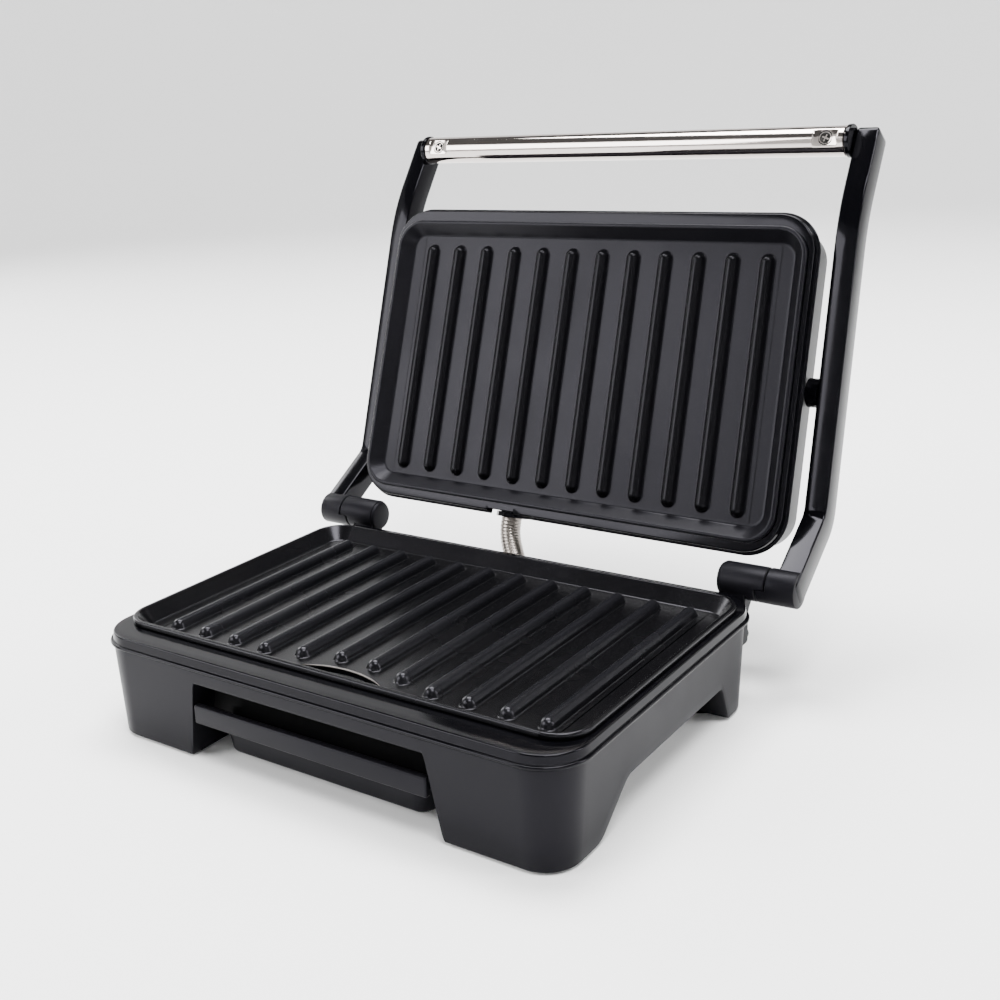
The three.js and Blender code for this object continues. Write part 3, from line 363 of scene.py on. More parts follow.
def mirrored(rows: Array) -> Array:
    """The grid on the other side of X = 0."""
    return rows * np.array([-1.0, 1.0, 1.0])


def turned_rows(profile: Array, centre: Sequence[float], axis: str = "x", steps: int = 48) -> Array:
    """A profile of (distance along the axis, radius) turned about an axis through `centre`.

    A point is centre + a axis + r (cos t u + sin t v), with u and v the two other axes.
    """
    t = np.linspace(0, 2 * np.pi, steps, endpoint=False)
    along, radius = profile[:, :1], profile[:, 1:]
    ring = [along + 0 * t, radius * np.cos(t), radius * np.sin(t)]
    order = {"x": (0, 1, 2), "y": (2, 0, 1), "z": (1, 2, 0)}[axis]
    return np.stack([ring[k] for k in order], -1) + np.array(centre)


def soft_bar(
    section: tuple[float, float, float, float], span: tuple[float, float], edge: float
) -> Array:
    """A bar along X with every edge rounded.

    Args:
        section: (y0, y1, z0, z1) of the bar.
        span: where it starts and ends in X.
        edge: radius of its edges.

    Returns:
        Rings along X; near each end a ring moves in by r - sqrt(r^2 - (r - d)^2).
    """
    y0, y1, z0, z1 = section
    q = np.linspace(0, np.pi / 2, 5)
    near = edge * (1 - np.cos(q))
    inward = edge * (1 - np.sin(q))
    xs = np.concatenate([span[0] + near, span[1] - near[::-1]])
    moves = np.concatenate([inward, inward[::-1]])
    rings = []
    for x, move in zip(xs, moves):
        corners = [
            (y0 + move, z0 + move), (y1 - move, z0 + move), (y1 - move, z1 - move), (y0 + move, z1 - move),
        ]
        loop = rounded_path(corners, [max(edge - move, 0.05)] * 4, 4, closed=True)
        rings.append(np.column_stack([np.full(len(loop), x), loop]))
    return np.stack(rings)


def prism_rows(corners: Array, radii: Sequence[float], span: tuple[float, float], edge: float) -> Array:
    """A (y, z) polygon swept along X, its two end faces edged by a small bevel.

    The rings next to each end are the polygon moved in by `edge` along its corners' bisectors.
    """
    path = rounded_path(corners, radii, 6, closed=True)
    ahead = np.roll(path, -1, 0) - path
    ahead /= np.maximum(np.linalg.norm(ahead, axis=1, keepdims=True), 1e-9)
    normal = np.column_stack([ahead[:, 1], -ahead[:, 0]])
    normal = normal + np.roll(normal, 1, 0)
    normal /= np.linalg.norm(normal, axis=1, keepdims=True)
    area = np.sum(path[:, 0] * np.roll(path[:, 1], -1) - path[:, 1] * np.roll(path[:, 0], -1))
    inner = path - normal * edge * math.copysign(1, area)
    stack = [(span[0], inner), (span[0] + edge, path), (span[1] - edge, path), (span[1], inner)]
    return np.stack([np.column_stack([np.full(len(ring), x), ring]) for x, ring in stack])


# ---------------------------------------------------------------- shader groups


class Group(Enum):
    """Shader node groups that several finishes share."""

    GRAIN = "moulded grain"
    SMUDGES = "handling smudges"
    SPECKLE = "coating speckle"


def new_group(kind: Group, inputs: dict[str, float], outputs: dict[str, str]) -> bpy.types.NodeTree:
    """An empty node group with float inputs and the named outputs.

    Args:
        kind: which group.
        inputs: input name and default value.
        outputs: output name and socket type.

    Returns:
        The node tree with its input and output nodes.
    """
    tree = bpy.data.node_groups.new(kind.value, "ShaderNodeTree")
    for name, value in inputs.items():
        socket = tree.interface.new_socket(name, in_out="INPUT", socket_type="NodeSocketFloat")
        socket.default_value = value
    for name, kind_of in outputs.items():
        tree.interface.new_socket(name, in_out="OUTPUT", socket_type=kind_of)
    tree.nodes.new("NodeGroupInput").name = "in"
    tree.nodes.new("NodeGroupOutput").name = "out"
    return tree


def noise(tree: bpy.types.NodeTree, scale: bpy.types.NodeSocket | float, detail: float) -> bpy.types.Node:
    """A noise texture on Object coordinates, its scale a number or a socket."""
    place = tree.nodes.new("ShaderNodeTexCoord")
    texture = tree.nodes.new("ShaderNodeTexNoise")
    texture.inputs["Detail"].default_value = detail
    tree.links.new(place.outputs["Object"], texture.inputs["Vector"])
    if isinstance(scale, float):
        texture.inputs["Scale"].default_value = scale
    else:
        tree.links.new(scale, texture.inputs["Scale"])
    return texture


def remap(
    tree: bpy.types.NodeTree, value: bpy.types.NodeSocket, low: float, high: float
) -> bpy.types.NodeSocket:
    """`value` stretched so that low becomes 0 and high becomes 1, held between them."""
    node = tree.nodes.new("ShaderNodeMapRange")
    node.interpolation_type = "SMOOTHSTEP"
    node.inputs["From Min"].default_value = low
    node.inputs["From Max"].default_value = high
    tree.links.new(value, node.inputs["Value"])
    return node.outputs["Result"]


def build_grain() -> bpy.types.NodeTree:
    """Fine moulded texture: the normal of two octaves of noise at Scale per metre."""
    tree = new_group(
        Group.GRAIN,
        {"Scale": 1500.0, "Height": 0.00002},
        {"Normal": "NodeSocketVector"},
    )
    source, out = tree.nodes["in"], tree.nodes["out"]
    texture = noise(tree, source.outputs["Scale"], 2.0)
    bump = tree.nodes.new("ShaderNodeBump")
    bump.inputs["Strength"].default_value = 1.0
    tree.links.new(source.outputs["Height"], bump.inputs["Distance"])
    tree.links.new(texture.outputs["Fac"], bump.inputs["Height"])
    tree.links.new(bump.outputs["Normal"], out.inputs["Normal"])
    return tree


def build_smudges() -> bpy.types.NodeTree:
    """Soft marks left by hands and wiping: roughness that drifts between Clean and Marked."""
    tree = new_group(
        Group.SMUDGES, {"Scale": 20.0, "Clean": 0.2, "Marked": 0.35}, {"Roughness": "NodeSocketFloat"}
    )
    source, out = tree.nodes["in"], tree.nodes["out"]
    texture = noise(tree, source.outputs["Scale"], 3.0)
    mask = remap(tree, texture.outputs["Fac"], 0.4, 0.72)
    mix = tree.nodes.new("ShaderNodeMix")
    tree.links.new(mask, mix.inputs["Factor"])
    tree.links.new(source.outputs["Clean"], mix.inputs["A"])
    tree.links.new(source.outputs["Marked"], mix.inputs["B"])
    tree.links.new(mix.outputs["Result"], out.inputs["Roughness"])
    return tree


def build_speckle() -> bpy.types.NodeTree:
    """Tiny flakes in a coating: a mask that is 1 on scattered cells at Scale per metre."""
    tree = new_group(Group.SPECKLE, {"Scale": 1400.0}, {"Mask": "NodeSocketFloat"})
    source, out = tree.nodes["in"], tree.nodes["out"]
    place = tree.nodes.new("ShaderNodeTexCoord")
    cells = tree.nodes.new("ShaderNodeTexVoronoi")
    tree.links.new(place.outputs["Object"], cells.inputs["Vector"])
    tree.links.new(source.outputs["Scale"], cells.inputs["Scale"])
    split = tree.nodes.new("ShaderNodeSeparateColor")
    tree.links.new(cells.outputs["Color"], split.inputs["Color"])
    mask = remap(tree, split.outputs["Red"], 0.8, 0.95)
    tree.links.new(mask, out.inputs["Mask"])
    return tree


BUILDERS: dict[Group, Callable[[], bpy.types.NodeTree]] = {
    Group.GRAIN: build_grain,
    Group.SMUDGES: build_smudges,
    Group.SPECKLE: build_speckle,
}


# ---------------------------------------------------------------- finishes


@dataclass(frozen=True)
class Finish:
    """A surface finish and the name of the slot that it belongs to."""

    name: str
    slot: str
    color: tuple[float, float, float]
    roughness: float
    marked: float
    metallic: float = 0.0
    specular: float = 0.5
    sheen: tuple[float, float, float] = (1.0, 1.0, 1.0)
    grain_scale: float = 1500.0
    grain_height: float = 0.0
    smudge_scale: float = 20.0
    speckle: float = 0.0
    coat: float = 0.0
    # Painted light and shade on the ribs: the base colour reached at the top of a rib.
    painted_rib_light: tuple[float, float, float] | None = None

    def material(self) -> bpy.types.Material:
        """The material, built the first time it is asked for."""
        found = bpy.data.materials.get(self.name)
        if found:
            return found
        material = bpy.data.materials.new(self.name)
        material.use_nodes = True
        tree = material.node_tree
        shader = tree.nodes["Principled BSDF"]
        shader.inputs["Base Color"].default_value = (*self.color, 1)
        shader.inputs["Metallic"].default_value = self.metallic
        shader.inputs["Specular IOR Level"].default_value = self.specular
        shader.inputs["Specular Tint"].default_value = (*self.sheen, 1)
        shader.inputs["Coat Weight"].default_value = self.coat
        shader.inputs["Coat Roughness"].default_value = 0.06
        smudges = self.group(tree, Group.SMUDGES)
        smudges.inputs["Scale"].default_value = self.smudge_scale
        smudges.inputs["Clean"].default_value = self.roughness
        smudges.inputs["Marked"].default_value = self.marked
        tree.links.new(smudges.outputs["Roughness"], shader.inputs["Roughness"])
        if self.grain_height:
            grain = self.group(tree, Group.GRAIN)
            grain.inputs["Scale"].default_value = self.grain_scale
            grain.inputs["Height"].default_value = self.grain_height
            tree.links.new(grain.outputs["Normal"], shader.inputs["Normal"])
        if self.speckle:
            flakes = self.group(tree, Group.SPECKLE)
            mix = tree.nodes.new("ShaderNodeMix")
            mix.data_type = "RGBA"
            mix.inputs["A"].default_value = (*self.color, 1)
            mix.inputs["B"].default_value = (*(c + self.speckle for c in self.color), 1)
            tree.links.new(flakes.outputs["Mask"], mix.inputs["Factor"])
            tree.links.new(mix.outputs["Result"], shader.inputs["Base Color"])
        # Painted light and shade: the base colour moves towards this colour with rib height, standing in for how
        # the lamps fall on the ribs.
        if self.painted_rib_light:
            height = tree.nodes.new("ShaderNodeAttribute")
            height.attribute_name = "painted_rib_light"
            ribs = tree.nodes.new("ShaderNodeMix")
            ribs.data_type = "RGBA"
            ribs.inputs["B"].default_value = (*self.painted_rib_light, 1)
            tree.links.new(height.outputs["Fac"], ribs.inputs["Factor"])
            tree.links.new(mix.outputs["Result"], ribs.inputs["A"])
            tree.links.new(ribs.outputs["Result"], shader.inputs["Base Color"])
        return material

    @staticmethod
    def group(tree: bpy.types.NodeTree, kind: Group) -> bpy.types.Node:
        """A node that holds the shared group, which is built when first used."""
        node = tree.nodes.new("ShaderNodeGroup")
        node.node_tree = bpy.data.node_groups.get(kind.value) or BUILDERS[kind]()
        return node


COOL_SHEEN = (0.9, 0.88, 1.0)

SATIN = Finish(
    "satin housing plastic", "satin_housing", (0.0036, 0.0035, 0.0045), 0.36, 0.44, specular=0.09,
    sheen=COOL_SHEEN,
    grain_scale=2600.0, grain_height=0.000012, smudge_scale=14.0,
)
GLOSS = Finish(
    "gloss black plastic", "gloss_black", (0.001, 0.001, 0.0014), 0.1, 0.17, specular=0.11,
    sheen=COOL_SHEEN,
    grain_scale=260.0, grain_height=0.00001, smudge_scale=24.0,
)
# The lower plate's coating; its rib tops are painted lighter than its floor, a painted highlight along the ribs.
LOWER_COAT = Finish(
    "lower plate coating", "nonstick_plate", (0.0008, 0.0008, 0.001), 0.24, 0.29, specular=0.16,
    sheen=COOL_SHEEN,
    grain_scale=2200.0, grain_height=0.000004, smudge_scale=18.0, speckle=0.0015,
    painted_rib_light=(0.0034, 0.0034, 0.0042),
)
# The same coating on the lid's plate: its lighter base colour paints the bright reflection on the dish floor, and
# its darker rib tops are painted shade.
UPPER_COAT_WITH_PAINTED_LIGHT = replace(
    LOWER_COAT, name="upper plate coating with painted light", color=(0.0032, 0.0031, 0.004), roughness=0.3,
    specular=0.1,    marked=0.36, painted_rib_light=(0.0012, 0.0012, 0.0014),
)
SHADE = Finish(
    "black painted sheet", "painted_steel", (0.0015, 0.0015, 0.0018), 0.5, 0.58, specular=0.12,
    grain_scale=1800.0, grain_height=0.00001,
)
# Bare metal on the drain slot's cut edge; its bright colour also paints the highlight that the slot's rear wall
# catches.
BARE_EDGE_AND_HIGHLIGHT = Finish(
    "bare cut edge and painted highlight", "nonstick_plate", (0.14, 0.13, 0.125), 0.34, 0.46, metallic=1.0,
    grain_scale=2400.0, grain_height=0.00001,
)
HINGE = Finish(
    "satin hinge plastic", "gloss_black", (0.0028, 0.0027, 0.0036), 0.38, 0.46, specular=0.07,
    sheen=COOL_SHEEN,
    grain_scale=2600.0, grain_height=0.000012,
)
CHROME = Finish(
    "chrome plate", "chrome_tube", (0.52, 0.47, 0.445), 0.06, 0.12, metallic=1.0,
    grain_scale=90.0, grain_height=0.000008, smudge_scale=30.0,
)
STEEL = Finish(
    "wound steel", "steel_parts", (0.25, 0.225, 0.205), 0.28, 0.4, metallic=1.0,
    grain_scale=1800.0, grain_height=0.00001,
)
SHEET = Finish(
    "sheet aluminium", "sheet_aluminium", (0.68, 0.69, 0.7), 0.3, 0.42, metallic=1.0,
    grain_scale=600.0, grain_height=0.00001,
)
RUBBER = Finish(
    "foot rubber", "rubber", (0.012, 0.012, 0.012), 0.8, 0.9,
    grain_scale=1500.0, grain_height=0.00003,
)
SCREW = Finish(
    "blackened screw", "screw_steel", (0.018, 0.0175, 0.017), 0.3, 0.42, metallic=1.0,
    grain_scale=2500.0, grain_height=0.00001,
)
CERAMIC = Finish(
    "ceramic body", "ceramic_body", (0.74, 0.7, 0.62), 0.55, 0.65,
    grain_scale=1500.0, grain_height=0.00002,
)
RED_LENS = Finish("red lens", "red_lens", (0.42, 0.01, 0.01), 0.12, 0.18, coat=0.5)
GREEN_LENS = Finish("green lens", "green_lens", (0.01, 0.3, 0.05), 0.12, 0.18, coat=0.5)


def dress(piece: bpy.types.Object, finish: Finish) -> None:
    """Gives a piece or a CAD node one finish all over."""
    piece.data.materials.clear()
    piece.data.materials.append(finish.material())


def fit(piece: bpy.types.Object, finish: Finish, body: str, *nodes: str) -> bpy.types.Object:
    """Dresses a piece, makes it ride on a body and stand for CAD nodes.

    Args:
        piece: a finished piece.
        finish: its finish.
        body: the CAD body that it moves with.
        nodes: the CAD nodes that it replaces.

    Returns:
        The piece.
    """
    dress(piece, finish)
    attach(piece, body)
    if nodes:
        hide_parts(*nodes)
    LOG.info("%s: %d faces on %s", piece.name, len(piece.data.polygons), body)
    return piece


# ---------------------------------------------------------------- grill plates


@dataclass
class GrillPlate:
    """A cast plate: rim, slanted dish wall, ribs with round ends and, below, a drain slot."""

    name: str
    node: str
    body: str
    space: Space
    lift: float
    rib_span: tuple[float, float]
    finish: Finish
    setback: float = 0.0
    has_slot: bool = False
    rim: Outline = Outline(123.0, 0.0, 153.0, 15.0)
    dish_depth: float = 7.0
    floor: float = 2.8
    skirt_inset: float = 3.5
    skirt_depth: float = 14.0
    rib_count: int = 12
    rib_pitch: float = 18.46
    rib_half: float = 3.5
    rib_height: float = 4.0
    rib_fillet: float = 1.0
    slot_half: float = 22.0
    slot_front: float = 9.8
    slot_side: float = 13.6
    slot_rise: float = 5.2
    slot_chamfer: float = 0.7
    floor_inset: float = 9.2

    def columns(self) -> Array:
        """X of the grid lines: close together on each rib's sides, wider between ribs."""
        near = np.array([0, 0.7, 1.4, 2.0, 2.4, 2.75, 3.0, 3.2, 3.4, 3.6, 3.8, 4.05, 4.4, 5.2, 7.0])
        offsets = np.concatenate([-near[:0:-1], near])
        middles = (np.arange(self.rib_count) - (self.rib_count - 1) / 2) * self.rib_pitch
        lines = (middles[:, None] + offsets).reshape(-1)
        lines = np.concatenate([lines, middles[:-1] + self.rib_pitch / 2])
        if self.has_slot:
            lines = np.concatenate([lines, [-self.slot_half, self.slot_half]])
        return np.unique(np.round(lines, 4))

    def row_shares(self) -> Array:
        """Shares of the depth at which the other grid lines stand, closer at the ribs' ends."""
        low, high = self.rim.front + self.floor_inset, self.rim.rear - self.floor_inset
        fine = 17.0 if self.has_slot else 8.0
        front = np.arange(low, low + fine, 0.34)
        rear = np.arange(high - 8.0, high + 0.01, 0.34)
        middle = np.linspace(front[-1], rear[0], 14)[1:-1]
        lines = np.concatenate([front, middle, rear])
        return (lines - lines[0]) / (lines[-1] - lines[0])

    def height(self, x: Array, y: Array) -> Array:
        """Height of the ribs over the dish floor.

        With d the distance to a rib's middle line, whose ends stand one half-width in, the height
        is H sqrt(1 - (d / R)^2), then its tangent, then a parabola into the floor.
        """
        half = (self.rib_count - 1) / 2
        order = np.clip(np.round(x / self.rib_pitch + half), 0, self.rib_count - 1) - half
        steps = np.maximum(0, 2 - np.floor(np.abs(order)))
        start = self.rib_span[0] + self.setback * steps + self.rib_half
        end = self.rib_span[1] - self.rib_half
        beyond = np.maximum(np.maximum(start - y, y - end), 0)
        share = np.hypot(x - order * self.rib_pitch, beyond) / self.rib_half
        last = 0.93
        dome = self.rib_height * np.sqrt(1 - np.minimum(share, last) ** 2)
        slope = self.rib_height * last / math.sqrt(1 - last**2)
        rise = dome - slope * np.maximum(share - last, 0)
        near = np.maximum(self.rib_fillet - np.abs(rise), 0) / self.rib_fillet
        return np.maximum(rise, 0) + near**2 * self.rib_fillet / 4

    def floor_grid(self, ring: Array, corner: int, columns: int) -> tuple[Array, Array]:
        """The dish floor's (x, y) on a grid whose edge is the ring.

        Args:
            ring: points round the floor.
            corner: points inside each corner.
            columns: points on its front side.

        Returns:
            x and y, each (rows, columns).
        """
        shares = self.row_shares()
        side = len(shares)
        front = np.concatenate([ring[-corner:], ring[: columns + corner]])
        first_rear = columns + corner + side
        rear = ring[first_rear : first_rear + 2 * corner + columns][::-1]
        front = np.vstack([ring[len(ring) - corner - 1], front, ring[columns + corner]])
        rear = np.vstack([ring[len(ring) - corner - side], rear, ring[first_rear - 1]])
        v = shares[:, None]
        x = front[:, 0] * (1 - v) + rear[:, 0] * v
        y = front[:, 1] * (1 - v) + rear[:, 1] * v
        return x, y

    def build(self) -> bpy.types.Object:
        """Builds the plate and puts it in place of its CAD node."""
        xs = self.columns()
        shares = self.row_shares()
        inner = self.rim.inset(self.floor_inset)
        side_low, side_high = inner.front + inner.radius, inner.rear - inner.radius
        ys = side_low + shares[1:-1] * (side_high - side_low)
        stations = Stations(xs, ys, 10)
        depth = -self.dish_depth
        path = rounded_path(
            [
                (self.floor_inset, depth), (7.5, depth), (2.0, 0.0), (0.0, 0.0), (0.0, -2.5),
                (self.skirt_inset, -2.5), (self.skirt_inset, -self.skirt_depth),
                (6.1, -self.skirt_depth), (6.1, depth - self.floor),
                (self.floor_inset, depth - self.floor),
            ],
            [0, 1.8, 0.8, 0.9, 0.3, 0, 0.4, 0.3, 0.5, 0],
            3,
        )
        rows = stations.rows([self.rim.inset(i) for i in path[:, 0]], list(path[:, 1] + self.lift))
        skin = Skin(self.space)
        skin.grid(rows, around=True)
        ring = rows[0, :, :2]
        x, y = self.floor_grid(ring, stations.steps - 1, len(xs) + 2)
        top = self.height(x, y) + depth
        if self.has_slot:
            y = self.bend_rows(x, y)
            top = self.height(x, y) + depth
            top[self.slot_row(y), :] -= np.where(np.abs(x[0]) < self.slot_half - 0.05, self.slot_chamfer, 0)
        upper = np.stack([x, y, top + self.lift], -1)
        lower = np.stack([x, y, np.full_like(x, depth - self.floor + self.lift)], -1)
        self.add_floor(skin, upper, lower, y)
        if self.has_slot:
            self.build_slot_lip()
        plate = skin.piece(self.name, 60)
        self.mark_painted_rib_light(plate)
        return fit(plate, self.finish, self.body, self.node)

    def mark_painted_rib_light(self, plate: bpy.types.Object) -> None:
        """Stores each point's share of the rib height as the attribute `painted_rib_light`, by which the plate
        finishes paint light and shade on the ribs.
        """
        mesh = plate.data
        flat = np.empty(len(mesh.vertices) * 3, np.float32)
        mesh.vertices.foreach_get("co", flat)
        local = self.space.from_row(flat.reshape(-1, 3).astype(float))
        inside = local[:, 2] > self.lift - self.dish_depth - 0.2
        inset = self.floor_inset - 1
        inside &= (local[:, 1] > self.rim.front + inset) & (local[:, 1] < self.rim.rear - inset)
        share = np.where(inside, self.height(local[:, 0], local[:, 1]) / self.rib_height, 0.0)
        layer = mesh.attributes.new("painted_rib_light", "FLOAT", "POINT")
        layer.data.foreach_set("value", share.astype(np.float32))

    def build_slot_lip(self) -> bpy.types.Object:
        """The cut edge behind the slot, bare metal whose bright colour also paints the highlight on the slot's
        rear wall: a thin bead along y = side + rise (1 - (x / w)^2).
        """
        x = np.linspace(-self.slot_half + 0.6, self.slot_half - 0.6, 60)
        y = self.slot_side + self.slot_rise * (1 - (x / self.slot_half) ** 2)
        t = np.linspace(0, 2 * np.pi, 12, endpoint=False)
        radius = 0.5 * np.sqrt(np.clip(1 - (x / self.slot_half) ** 4, 0.02, 1))[:, None]
        z = self.lift - self.dish_depth - 0.35
        rows = np.stack([x[:, None] + 0 * t, y[:, None] + radius * np.cos(t), z + radius * np.sin(t)], -1)
        lip = Skin(self.space)
        lip.tube(rows)
        return fit(lip.piece("drain_slot_edge", 60), BARE_EDGE_AND_HIGHLIGHT, self.body)

    def slot_row(self, y: Array) -> int:
        """The grid row that runs along the slot's curved rear edge."""
        return int(np.argmin(np.abs(y[:, 0] - self.slot_side))) if y.ndim == 2 else 0

    def bend_rows(self, x: Array, y: Array) -> Array:
        """Moves the rows near the slot so that one of them follows its curved rear edge.

        Behind the slot's ends a row moves back by rise (1 - (x / half)^2), fading with distance.
        """
        row = int(np.argmin(np.abs(y[:, y.shape[1] // 2] - self.slot_side)))
        base = y[row, y.shape[1] // 2]
        bulge = self.slot_rise * np.maximum(0, 1 - (x / self.slot_half) ** 2)
        ahead = np.clip((y - self.slot_front) / (base - self.slot_front), 0, 1)
        behind = np.clip((base + 13 - y) / 13, 0, 1)
        self._slot_row = row
        return y + bulge * np.where(y <= base, ahead, behind)

    def add_floor(self, skin: Skin, upper: Array, lower: Array, y: Array) -> None:
        """Adds the dish floor and its underside, with the slot cut through both."""
        m, n = y.shape
        top, bottom = (skin.count + k * m * n + np.arange(m * n).reshape(m, n) for k in (0, 1))
        skin.points += [upper.reshape(-1, 3), lower.reshape(-1, 3)]
        skin.count += 2 * m * n
        keep = np.ones((m - 1, n - 1), bool)
        if self.has_slot:
            x = upper[0, :, 0]
            a = int(np.argmin(np.abs(x + self.slot_half)))
            b = int(np.argmin(np.abs(x - self.slot_half)))
            j0 = int(np.argmin(np.abs(y[:, a] - self.slot_front)))
            j1 = self._slot_row
            keep[j0:j1, a:b] = False
            loop_j = [*range(j0, j1), *[j1] * (b - a), *range(j1, j0, -1), *[j0] * (b - a)]
            loop_i = [*[a] * (j1 - j0), *range(a, b), *[b] * (j1 - j0), *range(b, a, -1)]
            j, i = np.array(loop_j), np.array(loop_i)
            jn, i_n = np.roll(j, -1), np.roll(i, -1)
            skin.faces(np.stack([top[j, i], top[jn, i_n], bottom[jn, i_n], bottom[j, i]], -1))
        for index in (top, bottom):
            quads = np.stack([index[:-1, :-1], index[:-1, 1:], index[1:, 1:], index[1:, :-1]], -1)
            skin.faces(quads[keep])


# ---------------------------------------------------------------- base


@dataclass
class BaseBody:
    """The moulded housing with its feet and cut-outs, and the gloss band round its top."""

    band: Outline = Outline(127.3, -13.8, 162.5, 21.0)
    wall_top: Outline = Outline(125.0, -12.6, 160.2, 18.7)
    feet: Outline = Outline(121.6, -10.7, 156.8, 15.3)
    top: float = 42.5
    notch_half: float = 69.0
    notch_height: float = 36.0
    notch_run: float = 6.0
    cut_height: float = 18.5
    side_cut: tuple[float, float, float, float] = (19.3, 39.3, 124.8, 133.8)
    rear_cut: float = 104.6
    wall: float = 2.4

    def lower_edge(self, x: Array, y: Array) -> tuple[Array, Array]:
        """Height of the housing's lower edge round the outline, and how deep it is there.

        Each cut-out is a trapezoid: a ramp along the side, held between 0 and its height with
        softened corners. The edge is as deep as a foot on the feet and their ramps, and as thin
        as the wall under each cut-out's flat top.

        Args:
            x: of the outline's points.
            y: of the outline's points.

        Returns:
            Heights, and shares of foot depth from 0 to 1.
        """
        front = y < self.feet.front + 0.5
        rear = y > self.feet.rear - 0.5
        notch = soft_clip(
            (self.notch_half - np.abs(x)) / self.notch_run * self.notch_height,
            0.0, self.notch_height, 5.0,
        )
        a, b, c, d = self.side_cut
        ramp = np.minimum((y - a) / (b - a), (d - y) / (d - c)) * self.cut_height
        side = soft_clip(ramp, 0.0, self.cut_height, 3.0)
        back = soft_clip((self.rear_cut - np.abs(x)) * 30, 0.0, self.cut_height, 2.0)
        height = np.where(front, notch, np.where(rear, back, side))
        full = np.where(front, self.notch_height, self.cut_height)
        return height, (height < full - 0.6).astype(float)

    def stations(self) -> Stations:
        """Grid stations that fall on the corners of every cut-out."""
        xs = np.concatenate(
            [
                np.linspace(0, 54, 8), np.linspace(56, 70, 50), np.linspace(74, 103, 6),
                np.linspace(103.9, 105.2, 12),
            ]
        )
        a, b, c, d = self.side_cut
        ys = np.concatenate(
            [
                np.linspace(9, a - 3, 4), np.linspace(a - 2, a + 2, 9), np.linspace(a + 3, b - 3, 9),
                np.linspace(b - 2, b + 2, 9), np.linspace(b + 6, c - 6, 10),
                np.linspace(c - 2, c + 2, 9), np.linspace(c + 2.6, d - 2.6, 6),
                np.linspace(d - 2, d + 2, 9),
            ]
        )
        return Stations(np.concatenate([-xs[:0:-1], xs]), ys, 16)

    def build_housing(self) -> bpy.types.Object:
        """The housing: outer wall, lower edge and inner wall as one closed ring of surface."""
        stations = self.stations()
        feet, top = (o.ring(stations.xs, stations.ys, stations.steps) for o in (self.feet, self.wall_top))
        deep = Outline(self.feet.half_width - 17, self.feet.front + 30, self.feet.rear - 23, 3.0)
        thin = self.feet.inset(self.wall)
        far, near = (o.ring(stations.xs, stations.ys, stations.steps) for o in (deep, thin))
        low, share = self.lower_edge(feet[:, 0], feet[:, 1])
        share = share[:, None]
        inside = near * (1 - share) + far * share
        inner_top = self.wall_top.inset(self.wall).ring(stations.xs, stations.ys, stations.steps)

        def outer(z: Array) -> Array:
            t = (z / self.top)[:, None]
            return feet * (1 - t) + top * t

        normal = outer(np.zeros(len(feet))) - near
        normal /= np.linalg.norm(normal, axis=1, keepdims=True)
        edge = 0.9
        full = np.full(len(feet), self.top)
        rows = [np.column_stack([outer(full) - normal * 0.5, full])]
        rows.append(np.column_stack([outer(full - 0.5), full - 0.5]))
        for t in (0.3, 0.6, 0.85):
            z = full - 0.5 + (low + edge - full + 0.5) * t
            rows.append(np.column_stack([outer(z), z]))
        for q in np.linspace(0, np.pi / 2, 5):
            z = low + edge * (1 - math.sin(q))
            rows.append(np.column_stack([outer(z) - normal * edge * (1 - math.cos(q)), z]))
        rows.append(np.column_stack([inside * 0.5 + (outer(low) - normal * edge) * 0.5, low]))
        rows.append(np.column_stack([inside, low]))
        lift = np.minimum(low + 2.0, full - 3)
        rows.append(np.column_stack([inside, np.maximum(lift, self.cut_height + 0.5 + 0 * low)]))
        rows.append(np.column_stack([inner_top, np.maximum(lift, self.cut_height + 3.0)]))
        rows.append(np.column_stack([inner_top, full]))
        skin = Skin()
        skin.grid(np.stack(rows), around=True, along=True)
        a, b = self.side_cut[:2]
        wedge = np.array([(a - 25, 0.0), (a, 0.0), (b, self.cut_height), (a - 25, self.cut_height)])
        block = prism_rows(wedge, [0.3, 1.2, 0.6, 0.3], (self.notch_half, self.feet.half_width - 16), 0.4)
        for rows_of in (block, mirrored(block)):
            skin.tube(rows_of)
        return fit(skin.piece("housing_shell", 32), SATIN, "root", "base_housing")

    def build_band(self) -> bpy.types.Object:
        """The gloss band: a flat shelf with a rolled outer edge and a crisp lower lip."""
        hole = Outline(120.1, 2.9, 150.1, 12.1)
        return band_piece("base_gloss_band", self.band, hole, Space.PRESS, LAYOUT.rim_height, "root",
                          "base_bezel")

    def build(self) -> None:
        """Builds both pieces."""
        self.build_housing()
        self.build_band()


